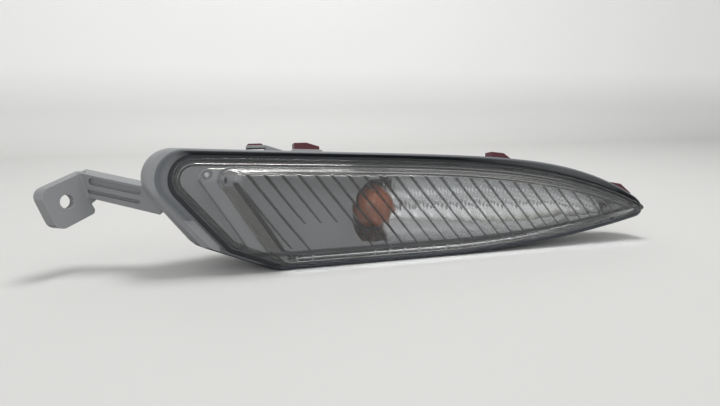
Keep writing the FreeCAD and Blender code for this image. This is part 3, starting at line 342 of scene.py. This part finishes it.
def run_along(tree, vector, axis):
    """Length of a vector along an axis."""
    run = tree.nodes.new("ShaderNodeVectorMath")
    run.operation = "DOT_PRODUCT"
    run.inputs[1].default_value = axis
    tree.links.new(vector, run.inputs[0])
    return run.outputs["Value"]


# Foot line: height in millimetres above the lamp's lower edge, which is level to the bend, then a parabola.
foot_group, given, put = shader_group(
    "foot_line",
    [("Place", "NodeSocketVector", None)],
    [("Height", "NodeSocketFloat")],
)
foot_bend = in_lamp(FOOT_BEND, 0.0, 0.0)
bend_along = float(foot_bend @ ALONG)
bend_height = float(foot_bend @ UPWARD) / MM
along = run_along(foot_group, given.outputs["Place"], ALONG)
past = ranged(foot_group, along, bend_along, bend_along + (FOOT_END - FOOT_BEND) * MM)
curve = reckon(foot_group, "POWER", past, 2.0)
lift = reckon(foot_group, "MULTIPLY_ADD", curve, FOOT_RISE, bend_height)
upward = run_along(foot_group, given.outputs["Place"], UPWARD / MM)
foot_group.links.new(reckon(foot_group, "SUBTRACT", upward, lift), put.inputs["Height"])


def use_group(tree, group, **values):
    """Places a node group in a material with its own values."""
    node = tree.nodes.new("ShaderNodeGroup")
    node.node_tree = group
    for label, value in values.items():
        node.inputs[label].default_value = value
    return node


def layered_colour(tree, shader, mask, colour):
    """Lays a second colour over a shader's present base colour where the mask is 1."""
    layer = tree.nodes.new("ShaderNodeMix")
    layer.data_type = "RGBA"
    layer.inputs["B"].default_value = colour
    tree.links.new(shader.inputs["Base Color"].links[0].from_socket, layer.inputs["A"])
    tree.links.new(mask, layer.inputs["Factor"])
    tree.links.new(layer.outputs["Result"], shader.inputs["Base Color"])


def bumped(tree, shader, height, strength, distance, normal=None):
    """Fine relief on a shader's normal, laid over another normal where one is given."""
    relief = tree.nodes.new("ShaderNodeBump")
    relief.inputs["Strength"].default_value = strength
    relief.inputs["Distance"].default_value = distance
    tree.links.new(height, relief.inputs["Height"])
    if normal is not None:
        tree.links.new(normal, relief.inputs["Normal"])
    tree.links.new(relief.outputs["Normal"], shader.inputs["Normal"])


def moulded_plastic(name, colour, rubbed, roughness, grain, bump, radius):
    """Grained plastic: clouded colour, rubbed edges, fine bump on rounded normals."""
    material, tree, shader, place = new_material(name, colour, roughness)
    skin = use_group(tree, grain_group, Grain=grain)
    tree.links.new(place, skin.inputs["Place"])
    edge = use_group(tree, edge_group, Radius=radius)
    deep, pale = (shaded(colour, factor) for factor in CLOUDING)
    tree.links.new(blend_colours(tree, skin.outputs["Cloud"], deep, pale), shader.inputs["Base Color"])
    layered_colour(tree, shader, edge.outputs["Edge"], rubbed)
    sheen = ranged(tree, skin.outputs["Height"], 0.0, 1.0, roughness + SHEEN[0], roughness + SHEEN[1])
    tree.links.new(sheen, shader.inputs["Roughness"])
    bumped(tree, shader, skin.outputs["Height"], bump, GRAIN_DEPTH, edge.outputs["Normal"])
    return material


def smooth_copy(name, node, crease, material):
    """Copy of a solid's mesh with its doubles merged, shaded smooth except over edges past the crease."""
    mesh = nodes[node].data.copy()
    mesh.name = name
    work = bmesh.new()
    work.from_mesh(mesh)
    bmesh.ops.remove_doubles(work, verts=work.verts, dist=MERGE_GAP)
    work.to_mesh(mesh)
    work.free()
    if mesh.has_custom_normals:
        mesh.attributes.remove(mesh.attributes["custom_normal"])
    mesh.polygons.foreach_set("use_smooth", np.ones(len(mesh.polygons), bool))
    mesh.set_sharp_from_angle(angle=math.radians(crease))
    piece = new_piece(name, mesh, material)
    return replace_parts(piece, node)


def depth_mask(tree, place, near, far):
    """1 in front of the near depth behind the rim and 0 behind the far one, in millimetres."""
    rim = float(in_lamp(0.0, 0.0, 0.0) @ BACKWARD)
    return ranged(tree, run_along(tree, place, BACKWARD), rim + near * MM, rim + far * MM, 1.0, 0.0)


def near_mask(tree, place, spot, far, near):
    """1 within the near distance of a place in the lamp and 0 beyond the far one, in millimetres."""
    gap = tree.nodes.new("ShaderNodeVectorMath")
    gap.operation = "DISTANCE"
    gap.inputs[1].default_value = in_lamp(*spot)
    tree.links.new(place, gap.inputs[0])
    return ranged(tree, gap.outputs["Value"], far * MM, near * MM)


def lean_mask(tree, axis, start, full):
    """Grows from 0 to 1 as a surface's normal, measured along an axis, goes from start to full lean."""
    surface = tree.nodes.new("ShaderNodeNewGeometry")
    return ranged(tree, run_along(tree, surface.outputs["Normal"], axis), start, full)


def foot_mask(tree, place, start, full):
    """Grows from 0 to 1 between two heights above the lower edge, in millimetres."""
    line = use_group(tree, foot_group)
    tree.links.new(place, line.inputs["Place"])
    return ranged(tree, line.outputs["Height"], start, full)


housing_skin = moulded_plastic("housing_skin", HOUSING_GREY, HOUSING_RUBBED,
                               roughness=0.46, grain=1100.0, bump=0.35, radius=0.0005)
tree = housing_skin.node_tree
shader = tree.nodes["Principled BSDF"]
place = tree.nodes["Texture Coordinate"].outputs["Object"]
# Painted shade: the front lip of the rim is darkened to navy.
lip_shade_mask = depth_mask(tree, place, *LIP_DEPTH)
layered_colour(tree, shader, lip_shade_mask, LIP_SHADE_NAVY)
# Painted shade: faces that turn downward are painted darker grey, and the steepest undersides nearly black.
layered_colour(tree, shader, lean_mask(tree, UPWARD, *UNDER_START), UNDER_SHADE_GREY)
layered_colour(tree, shader, lean_mask(tree, UPWARD, *UNDER_LEAN), UNDER_SHADE_NAVY)
# Painted shade: the lower lip, under the rolled edge of the lens, is painted nearly black.
lower_lip_shade = reckon(tree, "MULTIPLY", lip_shade_mask, foot_mask(tree, place, *LOWER_LIP))
layered_colour(tree, shader, lower_lip_shade, UNDER_SHADE_NAVY)
# Painted light: a pale spot on the stake head, lifting it out of the shade of its pocket.
layered_colour(tree, shader, near_mask(tree, place, STAKE_PLACE, *STAKE_SPOT), STAKE_PAINTED_LIGHT)
housing_shell = smooth_copy("housing_shell", "housing", 34.0, housing_skin)
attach(housing_shell, "lamp")

# Breather cap: a soft black rubber cup pushed over the spigot beside the bulb holder.
# Rubber is dull, paler with dust along its rounded edges, and has no sharp edges.
RUBBER_BLACK = (0.022, 0.022, 0.023, 1)
RUBBER_DUSTY = (0.07, 0.07, 0.07, 1)
soft_rubber = moulded_plastic("soft_rubber", RUBBER_BLACK, RUBBER_DUSTY,
                              roughness=0.68, grain=1500.0, bump=0.25, radius=0.0004)
nodes["vent_cap"].data.materials[0] = soft_rubber

# Seam filler: butyl run into the groove round the lens, set below the lip.
# Its face is dark navy in front of a depth and grey behind it, where it shows through the lens, and slow
# waves run along it.
SEALANT_NAVY = (0.022, 0.028, 0.037, 1)
SEALANT_GREY = (0.15, 0.155, 0.165, 1)
SEALANT_PALER = 1.2
SEALANT_DARK_FRONT = (2.9, 3.9)
SEALANT_ROUGHNESS = 0.38
sealant, tree, shader, place = new_material("sealant", SEALANT_NAVY, SEALANT_ROUGHNESS)
waves = noise(tree, place, scale=90.0)
bumped(tree, shader, waves, strength=0.06, distance=0.0004)
sealant_grey_waves = blend_colours(tree, waves, SEALANT_GREY, shaded(SEALANT_GREY, SEALANT_PALER))
tree.links.new(sealant_grey_waves, shader.inputs["Base Color"])
# Darker towards the front: dark navy in front of a depth behind the rim, grey behind it.
layered_colour(tree, shader, depth_mask(tree, place, *SEALANT_DARK_FRONT), SEALANT_NAVY)
nodes["lens_seal"].data.materials[0] = sealant

# Bezel: flat satin-grey panel behind the left third of the lens, with a sloping brow along its top.
# It is moulded in the same grey family as the housing, but smoother. The window round the reflector is
# opened a little wider than in the solid, as far as it shows through the lens.
BEZEL_GREY = (0.215, 0.218, 0.227, 1)
BEZEL_PALE = (0.31, 0.312, 0.32, 1)
WINDOW_ALONG = 57.0
WINDOW_HEIGHT = 20.0
WINDOW_ARC = 19.5
LEAST_ARC = 0.01
WINDOW_FALL = 0.045
WINDOW_DROP = 23.0
WINDOW_REACH = 204.0
WINDOW_BEND = 80.0
SOLID_WINDOW = {"top": 38.4, "foot": 7.4, "rise": 9.0, "tip": 182.0, "end": 180.3}
SEEN_WINDOW = {"top": 41.4, "foot": 6.1, "rise": 9.5, "tip": 188.0, "end": 187.6}
STRETCH_START = 130.0
END_PLAY = 1.0
ON_EDGE = 0.06


def window_arc(along):
    """Half height of the round left end of the window: a circle round the bulb, full from its middle on."""
    return np.sqrt(np.maximum(WINDOW_ARC**2 - np.minimum(along - WINDOW_ALONG, 0.0)**2, LEAST_ARC))


def window_top(along, window):
    """Upper edge: a line that falls slowly, less a fourth power to the tip, cut by the arc at the left."""
    top = window["top"] - WINDOW_FALL * along - WINDOW_DROP * (along / WINDOW_REACH)**4
    return np.where(along < WINDOW_ALONG, np.minimum(top, WINDOW_HEIGHT + window_arc(along)), top)


def window_foot(along, window):
    """Lower edge: level to the bend, then a parabola up to the tip, cut by the arc at the left."""
    run = np.maximum((along - WINDOW_BEND) / (window["tip"] - WINDOW_BEND), 0.0)
    foot = window["foot"] + window["rise"] * run**2
    return np.where(along < WINDOW_ALONG, np.maximum(foot, WINDOW_HEIGHT - window_arc(along)), foot)


def lamp_places(mesh):
    """Points of a mesh as millimetres along the lamp, behind the rim and above its foot."""
    points = np.empty(len(mesh.vertices) * 3)
    mesh.vertices.foreach_get("co", points)
    offset = (points.reshape(-1, 3) - HOLDER_POINT) / MM
    return offset @ ALONG + BULB_ALONG, offset @ BACKWARD + BACK_WALL, offset @ UPWARD + BULB_HEIGHT


def open_window(mesh, old, new):
    """Widens the window of the panel: points on its old edge move to the new one, stretched to the tip."""
    along, depth, height = lamp_places(mesh)
    inside = (along > WINDOW_ALONG - WINDOW_ARC) & (along < old["end"] + END_PLAY)
    upper = inside & (np.abs(height - window_top(along, old)) < ON_EDGE)
    lower = inside & (np.abs(height - window_foot(along, old)) < ON_EDGE) & ~upper
    share = np.clip((along - STRETCH_START) / (old["end"] - STRETCH_START), 0.0, 1.0)
    moved = np.where(upper | lower, along + (new["end"] - old["end"]) * share**2, along)
    height = np.where(upper, window_top(moved, new), np.where(lower, window_foot(moved, new), height))
    mesh.vertices.foreach_set("co", in_lamp(moved, depth, height).ravel())
    mesh.update()


bezel_skin = moulded_plastic("bezel_skin", BEZEL_GREY, BEZEL_PALE,
                             roughness=0.40, grain=1800.0, bump=0.18, radius=0.0003)
bezel_panel = smooth_copy("bezel_panel", "bezel", 30.0, bezel_skin)
open_window(bezel_panel.data, SOLID_WINDOW, SEEN_WINDOW)
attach(bezel_panel, "lamp")

# Reflector: bowl behind the window, moulded in plastic and metallised on the inside.
# Its upper half is cut into upright flutes that end in a ragged step; the lower half is nearly smooth.
BOWL_SEAT = 2.8
BOWL_TIP = 187.0
BOWL_FULL = 43.5
BOWL_LEFT = 37.6
BOWL_DEPTH = 29.0
BOWL_END_DEPTH = 1.2
BOWL_TAPER = 0.9
BOWL_WALL = 1.2
BOWL_COLUMNS = 620
BOWL_ROWS = 64
LEAST_GAP = 0.6
FLUTE_PITCH = 2.7
FLUTE_HEIGHT = 0.42
FLUTE_FADE = (0.93, 1.0)
RAGGED_EDGE = 0.52
RAGGED_DEPTH = 0.055
RAGGED_DRIFT = 0.012
DRIFT_RATE = 1.7
EDGE_BLEND = 0.05
STEP_HEIGHT = 2.2
STEP_RISE = (0.0, 0.12)
PILLOW_HEIGHT = 0.22
PILLOW_PITCH = 9.0
PILLOW_RISE = (0.05, 0.2)
PILLOW_FALL = (0.4, 0.5)
RELIEF_DEPTH = 9.0
BULB_HOLE = 12.8
BULB_HOLE_FRONT = 13.1
LEAST_REACH = 1e-6
MIRROR = (0.80, 0.805, 0.81, 1)
MIRROR_HAZED = (0.70, 0.71, 0.72, 1)
MIRROR_DULL = (0.16, 0.32)
MIRROR_ROUGHNESS = 0.24


def ease(low, high, value):
    """Smooth step from 0 to 1 between two limits."""
    share = np.clip((value - low) / (high - low), 0.0, 1.0)
    return share * share * (3 - 2 * share)


def bowl_points(columns, rows):
    """Inside of the bowl. Along the lamp the window's top and foot close to an arc round the bulb; across it
    the depth is a parabola from foot to top. Flutes are taken off its upper half, a step off its lower half,
    and shallow pillows are added there."""
    along = np.linspace(BOWL_LEFT, BOWL_TIP, columns)[:, None]
    across = np.linspace(0.0, 1.0, rows)[None, :]
    foot = window_foot(along, SEEN_WINDOW)
    top = np.maximum(window_top(along, SEEN_WINDOW), foot + LEAST_GAP)
    left = np.clip((BOWL_FULL - along) / (BOWL_FULL - BOWL_LEFT), 0.0, 1.0)
    right = np.clip((along - BOWL_FULL) / (BOWL_TIP - BOWL_FULL), 0.0, 1.0)
    bowl = BOWL_END_DEPTH + (BOWL_DEPTH - BOWL_END_DEPTH) * np.sqrt(1 - left**2) * (1 - right**BOWL_TAPER)
    height = foot + (top - foot) * across * across * (3 - 2 * across)
    room = np.minimum(bowl / RELIEF_DEPTH, 1.0)
    ridge = np.abs(np.sin(math.pi * along / FLUTE_PITCH))
    ragged = RAGGED_EDGE + RAGGED_DEPTH * ridge + RAGGED_DRIFT * np.sin(along * DRIFT_RATE)
    flutes = FLUTE_HEIGHT * (1 - ridge) * ease(ragged, ragged + EDGE_BLEND, across)
    flutes = flutes * (1 - ease(*FLUTE_FADE, across)) * room
    step = STEP_HEIGHT * (1 - ease(ragged - EDGE_BLEND, ragged, across)) * ease(*STEP_RISE, across) * room
    pillow = PILLOW_HEIGHT * np.sin(along * 2 * math.pi / PILLOW_PITCH) * ease(*PILLOW_RISE, across)
    pillow = pillow * (1 - ease(*PILLOW_FALL, across)) * room
    depth = BOWL_SEAT + 4 * across * (1 - across) * bowl - flutes - step + pillow
    return in_lamp(along, np.maximum(depth, BOWL_SEAT), height)


def cut_round(mesh, radius, front):
    """Opens a round hole on the bulb's axis behind a depth: points inside it move out to its edge, and the
    faces that lay wholly inside are taken away."""
    points = np.empty(len(mesh.vertices) * 3)
    mesh.vertices.foreach_get("co", points)
    axis = np.array(in_lamp(BULB_ALONG, 0.0, BULB_HEIGHT))
    offset = points.reshape(-1, 3) - axis
    depth = offset @ BACKWARD
    across = offset - depth[:, None] * BACKWARD
    reach = np.linalg.norm(across, axis=1)
    inside = (reach < radius * MM) & (depth > front * MM)
    grow = np.where(inside, radius * MM / np.maximum(reach, LEAST_REACH), 1.0)
    moved = axis + depth[:, None] * BACKWARD + across * grow[:, None]
    mesh.vertices.foreach_set("co", moved.ravel())
    work = bmesh.new()
    work.from_mesh(mesh)
    gone = [face for face in work.faces if all(inside[vert.index] for vert in face.verts)]
    bmesh.ops.delete(work, geom=gone, context="FACES")
    work.to_mesh(mesh)
    work.free()
    mesh.update()


bright_coat, tree, shader, place = new_material("bright_coat", MIRROR, MIRROR_ROUGHNESS, 1.0)
haze = noise(tree, place, scale=120.0, detail=5.0)
tree.links.new(ranged(tree, haze, 0.0, 1.0, *MIRROR_DULL), shader.inputs["Roughness"])
tree.links.new(blend_colours(tree, haze, MIRROR, MIRROR_HAZED), shader.inputs["Base Color"])
bumped(tree, shader, haze, strength=0.04, distance=0.0003)

bowl_mesh = grid_mesh("fluted_bowl", bowl_points(BOWL_COLUMNS, BOWL_ROWS))
cut_round(bowl_mesh, BULB_HOLE, BULB_HOLE_FRONT)
fluted_bowl = new_piece("fluted_bowl", bowl_mesh, bright_coat)
wall = fluted_bowl.modifiers.new("wall", "SOLIDIFY")
wall.thickness = BOWL_WALL * MM
wall.offset = 1.0
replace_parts(fluted_bowl, "reflector")
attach(fluted_bowl, "lamp")

# Bulb: amber-lacquered glass ball on a plated bayonet cap, with a glass stem, two wires and a filament.
# The lacquer is slightly uneven, so the amber is deeper in patches.
AMBER = (0.66, 0.165, 0.022, 1)
AMBER_DEEP = (0.24, 0.052, 0.012, 1)
AMBER_PASSING = (0.9, 0.55, 0.25, 1)
STEM_CLEAR = (0.9, 0.92, 0.92, 1)
CAP_PLATE = (0.74, 0.70, 0.60, 1)
CAP_DARK = (0.45, 0.41, 0.33, 1)
SOLDER = (0.55, 0.55, 0.56, 1)
SOLDER_DARK = (0.32, 0.32, 0.33, 1)
WIRE_GREY = (0.42, 0.42, 0.44, 1)
WIRE_DARK = (0.25, 0.25, 0.27, 1)
GLASS_BLACK = (0.012, 0.012, 0.013, 1)
GLASS_RUBBED = (0.05, 0.05, 0.05, 1)
STREAK = (0.7, 1.4)
METAL_EDGE = 0.0002


def clear_shader(tree, shader, passing):
    """Lets rays from lamps through a clear material, so that what is behind it is lit."""
    path = tree.nodes.new("ShaderNodeLightPath")
    open_way = tree.nodes.new("ShaderNodeBsdfTransparent")
    open_way.inputs["Color"].default_value = passing
    choice = tree.nodes.new("ShaderNodeMixShader")
    tree.links.new(path.outputs["Is Shadow Ray"], choice.inputs[0])
    tree.links.new(shader.outputs["BSDF"], choice.inputs[1])
    tree.links.new(open_way.outputs["BSDF"], choice.inputs[2])
    tree.links.new(choice.outputs["Shader"], tree.nodes["Material Output"].inputs["Surface"])


amber_glass, tree, shader, place = new_material("amber_glass", AMBER, 0.06)
shader.inputs["Transmission Weight"].default_value = 0.45
shader.inputs["IOR"].default_value = 1.48
shader.inputs["Coat Weight"].default_value = 0.4
patches = noise(tree, place, scale=130.0, detail=3.0)
tree.links.new(blend_colours(tree, patches, AMBER_DEEP, AMBER), shader.inputs["Base Color"])
clear_shader(tree, shader, AMBER_PASSING)
nodes["bulb_glass"].data.materials[0] = amber_glass

stem_glass, tree, shader, place = new_material("stem_glass", STEM_CLEAR, 0.05)
shader.inputs["Transmission Weight"].default_value = 0.9
bumped(tree, shader, noise(tree, place, scale=300.0), strength=0.2, distance=0.0003)
clear_shader(tree, shader, STEM_CLEAR)
nodes["bulb_stem"].data.materials[0] = stem_glass


def plain_metal(name, colour, dark, roughness, scale):
    """Drawn or plated metal: broad tarnish in the colour, fine streaks in the roughness."""
    material, tree, shader, place = new_material(name, colour, roughness, 1.0)
    tarnish = noise(tree, place, scale, detail=6.0)
    tree.links.new(blend_colours(tree, tarnish, dark, colour), shader.inputs["Base Color"])
    streak = ranged(tree, tarnish, 0.0, 1.0, roughness * STREAK[0], roughness * STREAK[1])
    tree.links.new(streak, shader.inputs["Roughness"])
    edge = use_group(tree, edge_group, Radius=METAL_EDGE)
    tree.links.new(edge.outputs["Normal"], shader.inputs["Normal"])
    return material


plated_cap = plain_metal("plated_cap", CAP_PLATE, CAP_DARK, roughness=0.28, scale=220.0)
nodes["bulb_cap"].data.materials[0] = plated_cap
solder = plain_metal("solder", SOLDER, SOLDER_DARK, roughness=0.42, scale=500.0)
nodes["bulb_contact"].data.materials[0] = solder
drawn_wire = plain_metal("drawn_wire", WIRE_GREY, WIRE_DARK, roughness=0.35, scale=800.0)
nodes["bulb_leads"].data.materials[0] = drawn_wire
nodes["bulb_filament"].data.materials[0] = drawn_wire
black_glass = moulded_plastic("black_glass", GLASS_BLACK, GLASS_RUBBED,
                              roughness=0.18, grain=600.0, bump=0.1, radius=0.0002)
nodes["bulb_insulator"].data.materials[0] = black_glass

# Bulb holder: black glass-filled nylon with a ribbed grip, three lugs and a two-way blade socket.
# The nylon is satin with pale flow marks; the blades are tinned brass, and a rubber ring sits at the flange.
NYLON = (0.032, 0.033, 0.036, 1)
NYLON_RUBBED = (0.11, 0.11, 0.115, 1)
BRASS_TIN = (0.72, 0.68, 0.56, 1)
BRASS_DARK = (0.5, 0.45, 0.33, 1)
nylon = moulded_plastic("black_nylon", NYLON, NYLON_RUBBED,
                        roughness=0.44, grain=1400.0, bump=0.3, radius=0.0004)
holder_body = smooth_copy("holder_body", "bulb_holder", 30.0, nylon)
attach(holder_body, "holder")
nodes["holder_seal"].data.materials[0] = soft_rubber
tinned_brass = plain_metal("tinned_brass", BRASS_TIN, BRASS_DARK, roughness=0.3, scale=400.0)
nodes["live_terminal"].data.materials[0] = tinned_brass
nodes["ground_terminal"].data.materials[0] = tinned_brass

# Lens: clear polycarbonate with a faint smoke tint, stepped at its edge, with slanting ribs inside the face.
# It is polished, with slow waves from the tool and a light haze of scuffs, and its steep walls are painted
# darker as painted shade.
LENS_TINT = (0.95, 0.955, 0.96, 1)
# Painted shade colours for the steep walls of the lens, its rib flanks and its knee.
LENS_OLIVE_SHADE = (0.62, 0.62, 0.56, 1)
LENS_SLOPE_SHADE = (0.80, 0.81, 0.82, 1)
LENS_FLANK_SHADE = (0.03, 0.032, 0.034, 1)
LENS_KNEE_SHADE = (0.30, 0.31, 0.32, 1)
KNEE_LOW = (4.2, 4.8)
KNEE_HIGH = (6.6, 5.9)
RIB_SHADE = (-6.98, -6.68)
RIB_CREST = (-6.15, -5.95)
LEDGE_FROST = 0.38
LEDGE_LEAN = (0.6, 0.8)
LEDGE_DEPTH = (-4.9, -4.6)
LENS_EDGE = 0.0005
LENS_ROUGHNESS = 0.025
SCUFF_RANGE = (0.45, 0.8)
SCUFF_ROUGHNESS = (0.012, 0.04)
FLANK_SLANT = 36.0
OFF = (0, 0, 0, 1)
ON = (1, 1, 1, 1)
WALL_SHADE_STOPS = (
    (0.0, LENS_TINT), (0.30, LENS_TINT), (0.40, LENS_SLOPE_SHADE), (0.50, LENS_SLOPE_SHADE),
    (0.60, LENS_TINT), (0.63, LENS_OLIVE_SHADE), (0.72, LENS_OLIVE_SHADE), (0.79, LENS_FLANK_SHADE),
)
RIB_STOPS = ((0.0, OFF), (0.30, OFF), (0.38, ON), (0.50, ON), (0.56, OFF), (1.0, OFF))


def stepped_ramp(tree, value, stops):
    """Colour ramp over a value, its stops given as place and colour; the first stop stands at 0."""
    node = tree.nodes.new("ShaderNodeValToRGB")
    elements = node.color_ramp.elements
    for spot, colour in stops[1:-1]:
        elements.new(spot).color = colour
    elements[0].color = stops[0][1]
    elements[-1].color = stops[-1][1]
    elements[-1].position = stops[-1][0]
    tree.links.new(value, node.inputs["Fac"])
    return node.outputs["Color"]


clear_lens, tree, shader, place = new_material("clear_lens", LENS_TINT, LENS_ROUGHNESS)
shader.inputs["Transmission Weight"].default_value = 1.0
shader.inputs["IOR"].default_value = 1.5
scuffs = noise(tree, place, scale=420.0, detail=6.0, roughness=0.7)
film = ranged(tree, scuffs, *SCUFF_RANGE, *SCUFF_ROUGHNESS)
edge = use_group(tree, edge_group, Radius=LENS_EDGE)
flow = noise(tree, place, scale=55.0)
bumped(tree, shader, flow, strength=0.006, distance=0.001, normal=edge.outputs["Normal"])
clear_shader(tree, shader, LENS_TINT)

# Walls that stand across the slant of the ribs are painted darker by how steep they are, as painted shade for
# what refraction shows there:
# rib slopes, the sloped left wall, and the flanks of ribs and ledges. A painted dark line runs where the face
# bends into the rolled edge.
surface = tree.nodes.new("ShaderNodeNewGeometry")
slant = math.radians(FLANK_SLANT)
across_ribs = math.cos(slant) * ALONG + math.sin(slant) * UPWARD
steep = reckon(tree, "ABSOLUTE", run_along(tree, surface.outputs["True Normal"], across_ribs))
# Painted shade: the lens colour goes darker by how steep its walls stand.
tree.links.new(stepped_ramp(tree, steep, WALL_SHADE_STOPS), shader.inputs["Base Color"])
on_slope = stepped_ramp(tree, steep, RIB_STOPS)
# Painted shade: dark lines along the flanks of the ribs.
crest = reckon(tree, "SUBTRACT", on_slope, depth_mask(tree, place, *RIB_SHADE), clamp=True)
rib_shade_mask = reckon(tree, "MULTIPLY", crest, depth_mask(tree, place, *RIB_CREST))
layered_colour(tree, shader, rib_shade_mask, LENS_FLANK_SHADE)
# Painted shade: a dark line where the face bends into the rolled edge.
knee_shade = reckon(tree, "MULTIPLY", foot_mask(tree, place, *KNEE_LOW), foot_mask(tree, place, *KNEE_HIGH))
layered_colour(tree, shader, knee_shade, LENS_KNEE_SHADE)

# The upper walls of the two ledges are frosted by the tool, so they scatter light instead of mirroring it.
upper_wall = lean_mask(tree, UPWARD, *LEDGE_LEAN)
ledge = reckon(tree, "SUBTRACT", upper_wall, depth_mask(tree, place, *LEDGE_DEPTH), clamp=True)
tree.links.new(reckon(tree, "MULTIPLY_ADD", ledge, LEDGE_FROST, film), shader.inputs["Roughness"])
lens_shell = smooth_copy("lens_shell", "lens", 36.0, clear_lens)
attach(lens_shell, "lamp")

# Clips on the rim: dark red moulded hooks, a pad on the ramp tongue and a pale plate under the left hook.
# They are separate snap-in pieces, satin, with rubbed corners.
MAROON = (0.10, 0.018, 0.028, 1)
MAROON_RUBBED = (0.30, 0.10, 0.12, 1)
PLATE_PALE = (0.46, 0.46, 0.47, 1)
PLATE_RUBBED = (0.62, 0.62, 0.62, 1)
maroon = moulded_plastic("maroon_plastic", MAROON, MAROON_RUBBED,
                         roughness=0.42, grain=1300.0, bump=0.3, radius=0.0004)
for name in ("tongue_pad", "left_hook", "right_hook", "end_clip"):
    nodes[name].data.materials[0] = maroon
pale_plate = moulded_plastic("pale_plastic", PLATE_PALE, PLATE_RUBBED,
                             roughness=0.4, grain=1300.0, bump=0.2, radius=0.0003)
nodes["spring_plate"].data.materials[0] = pale_plate
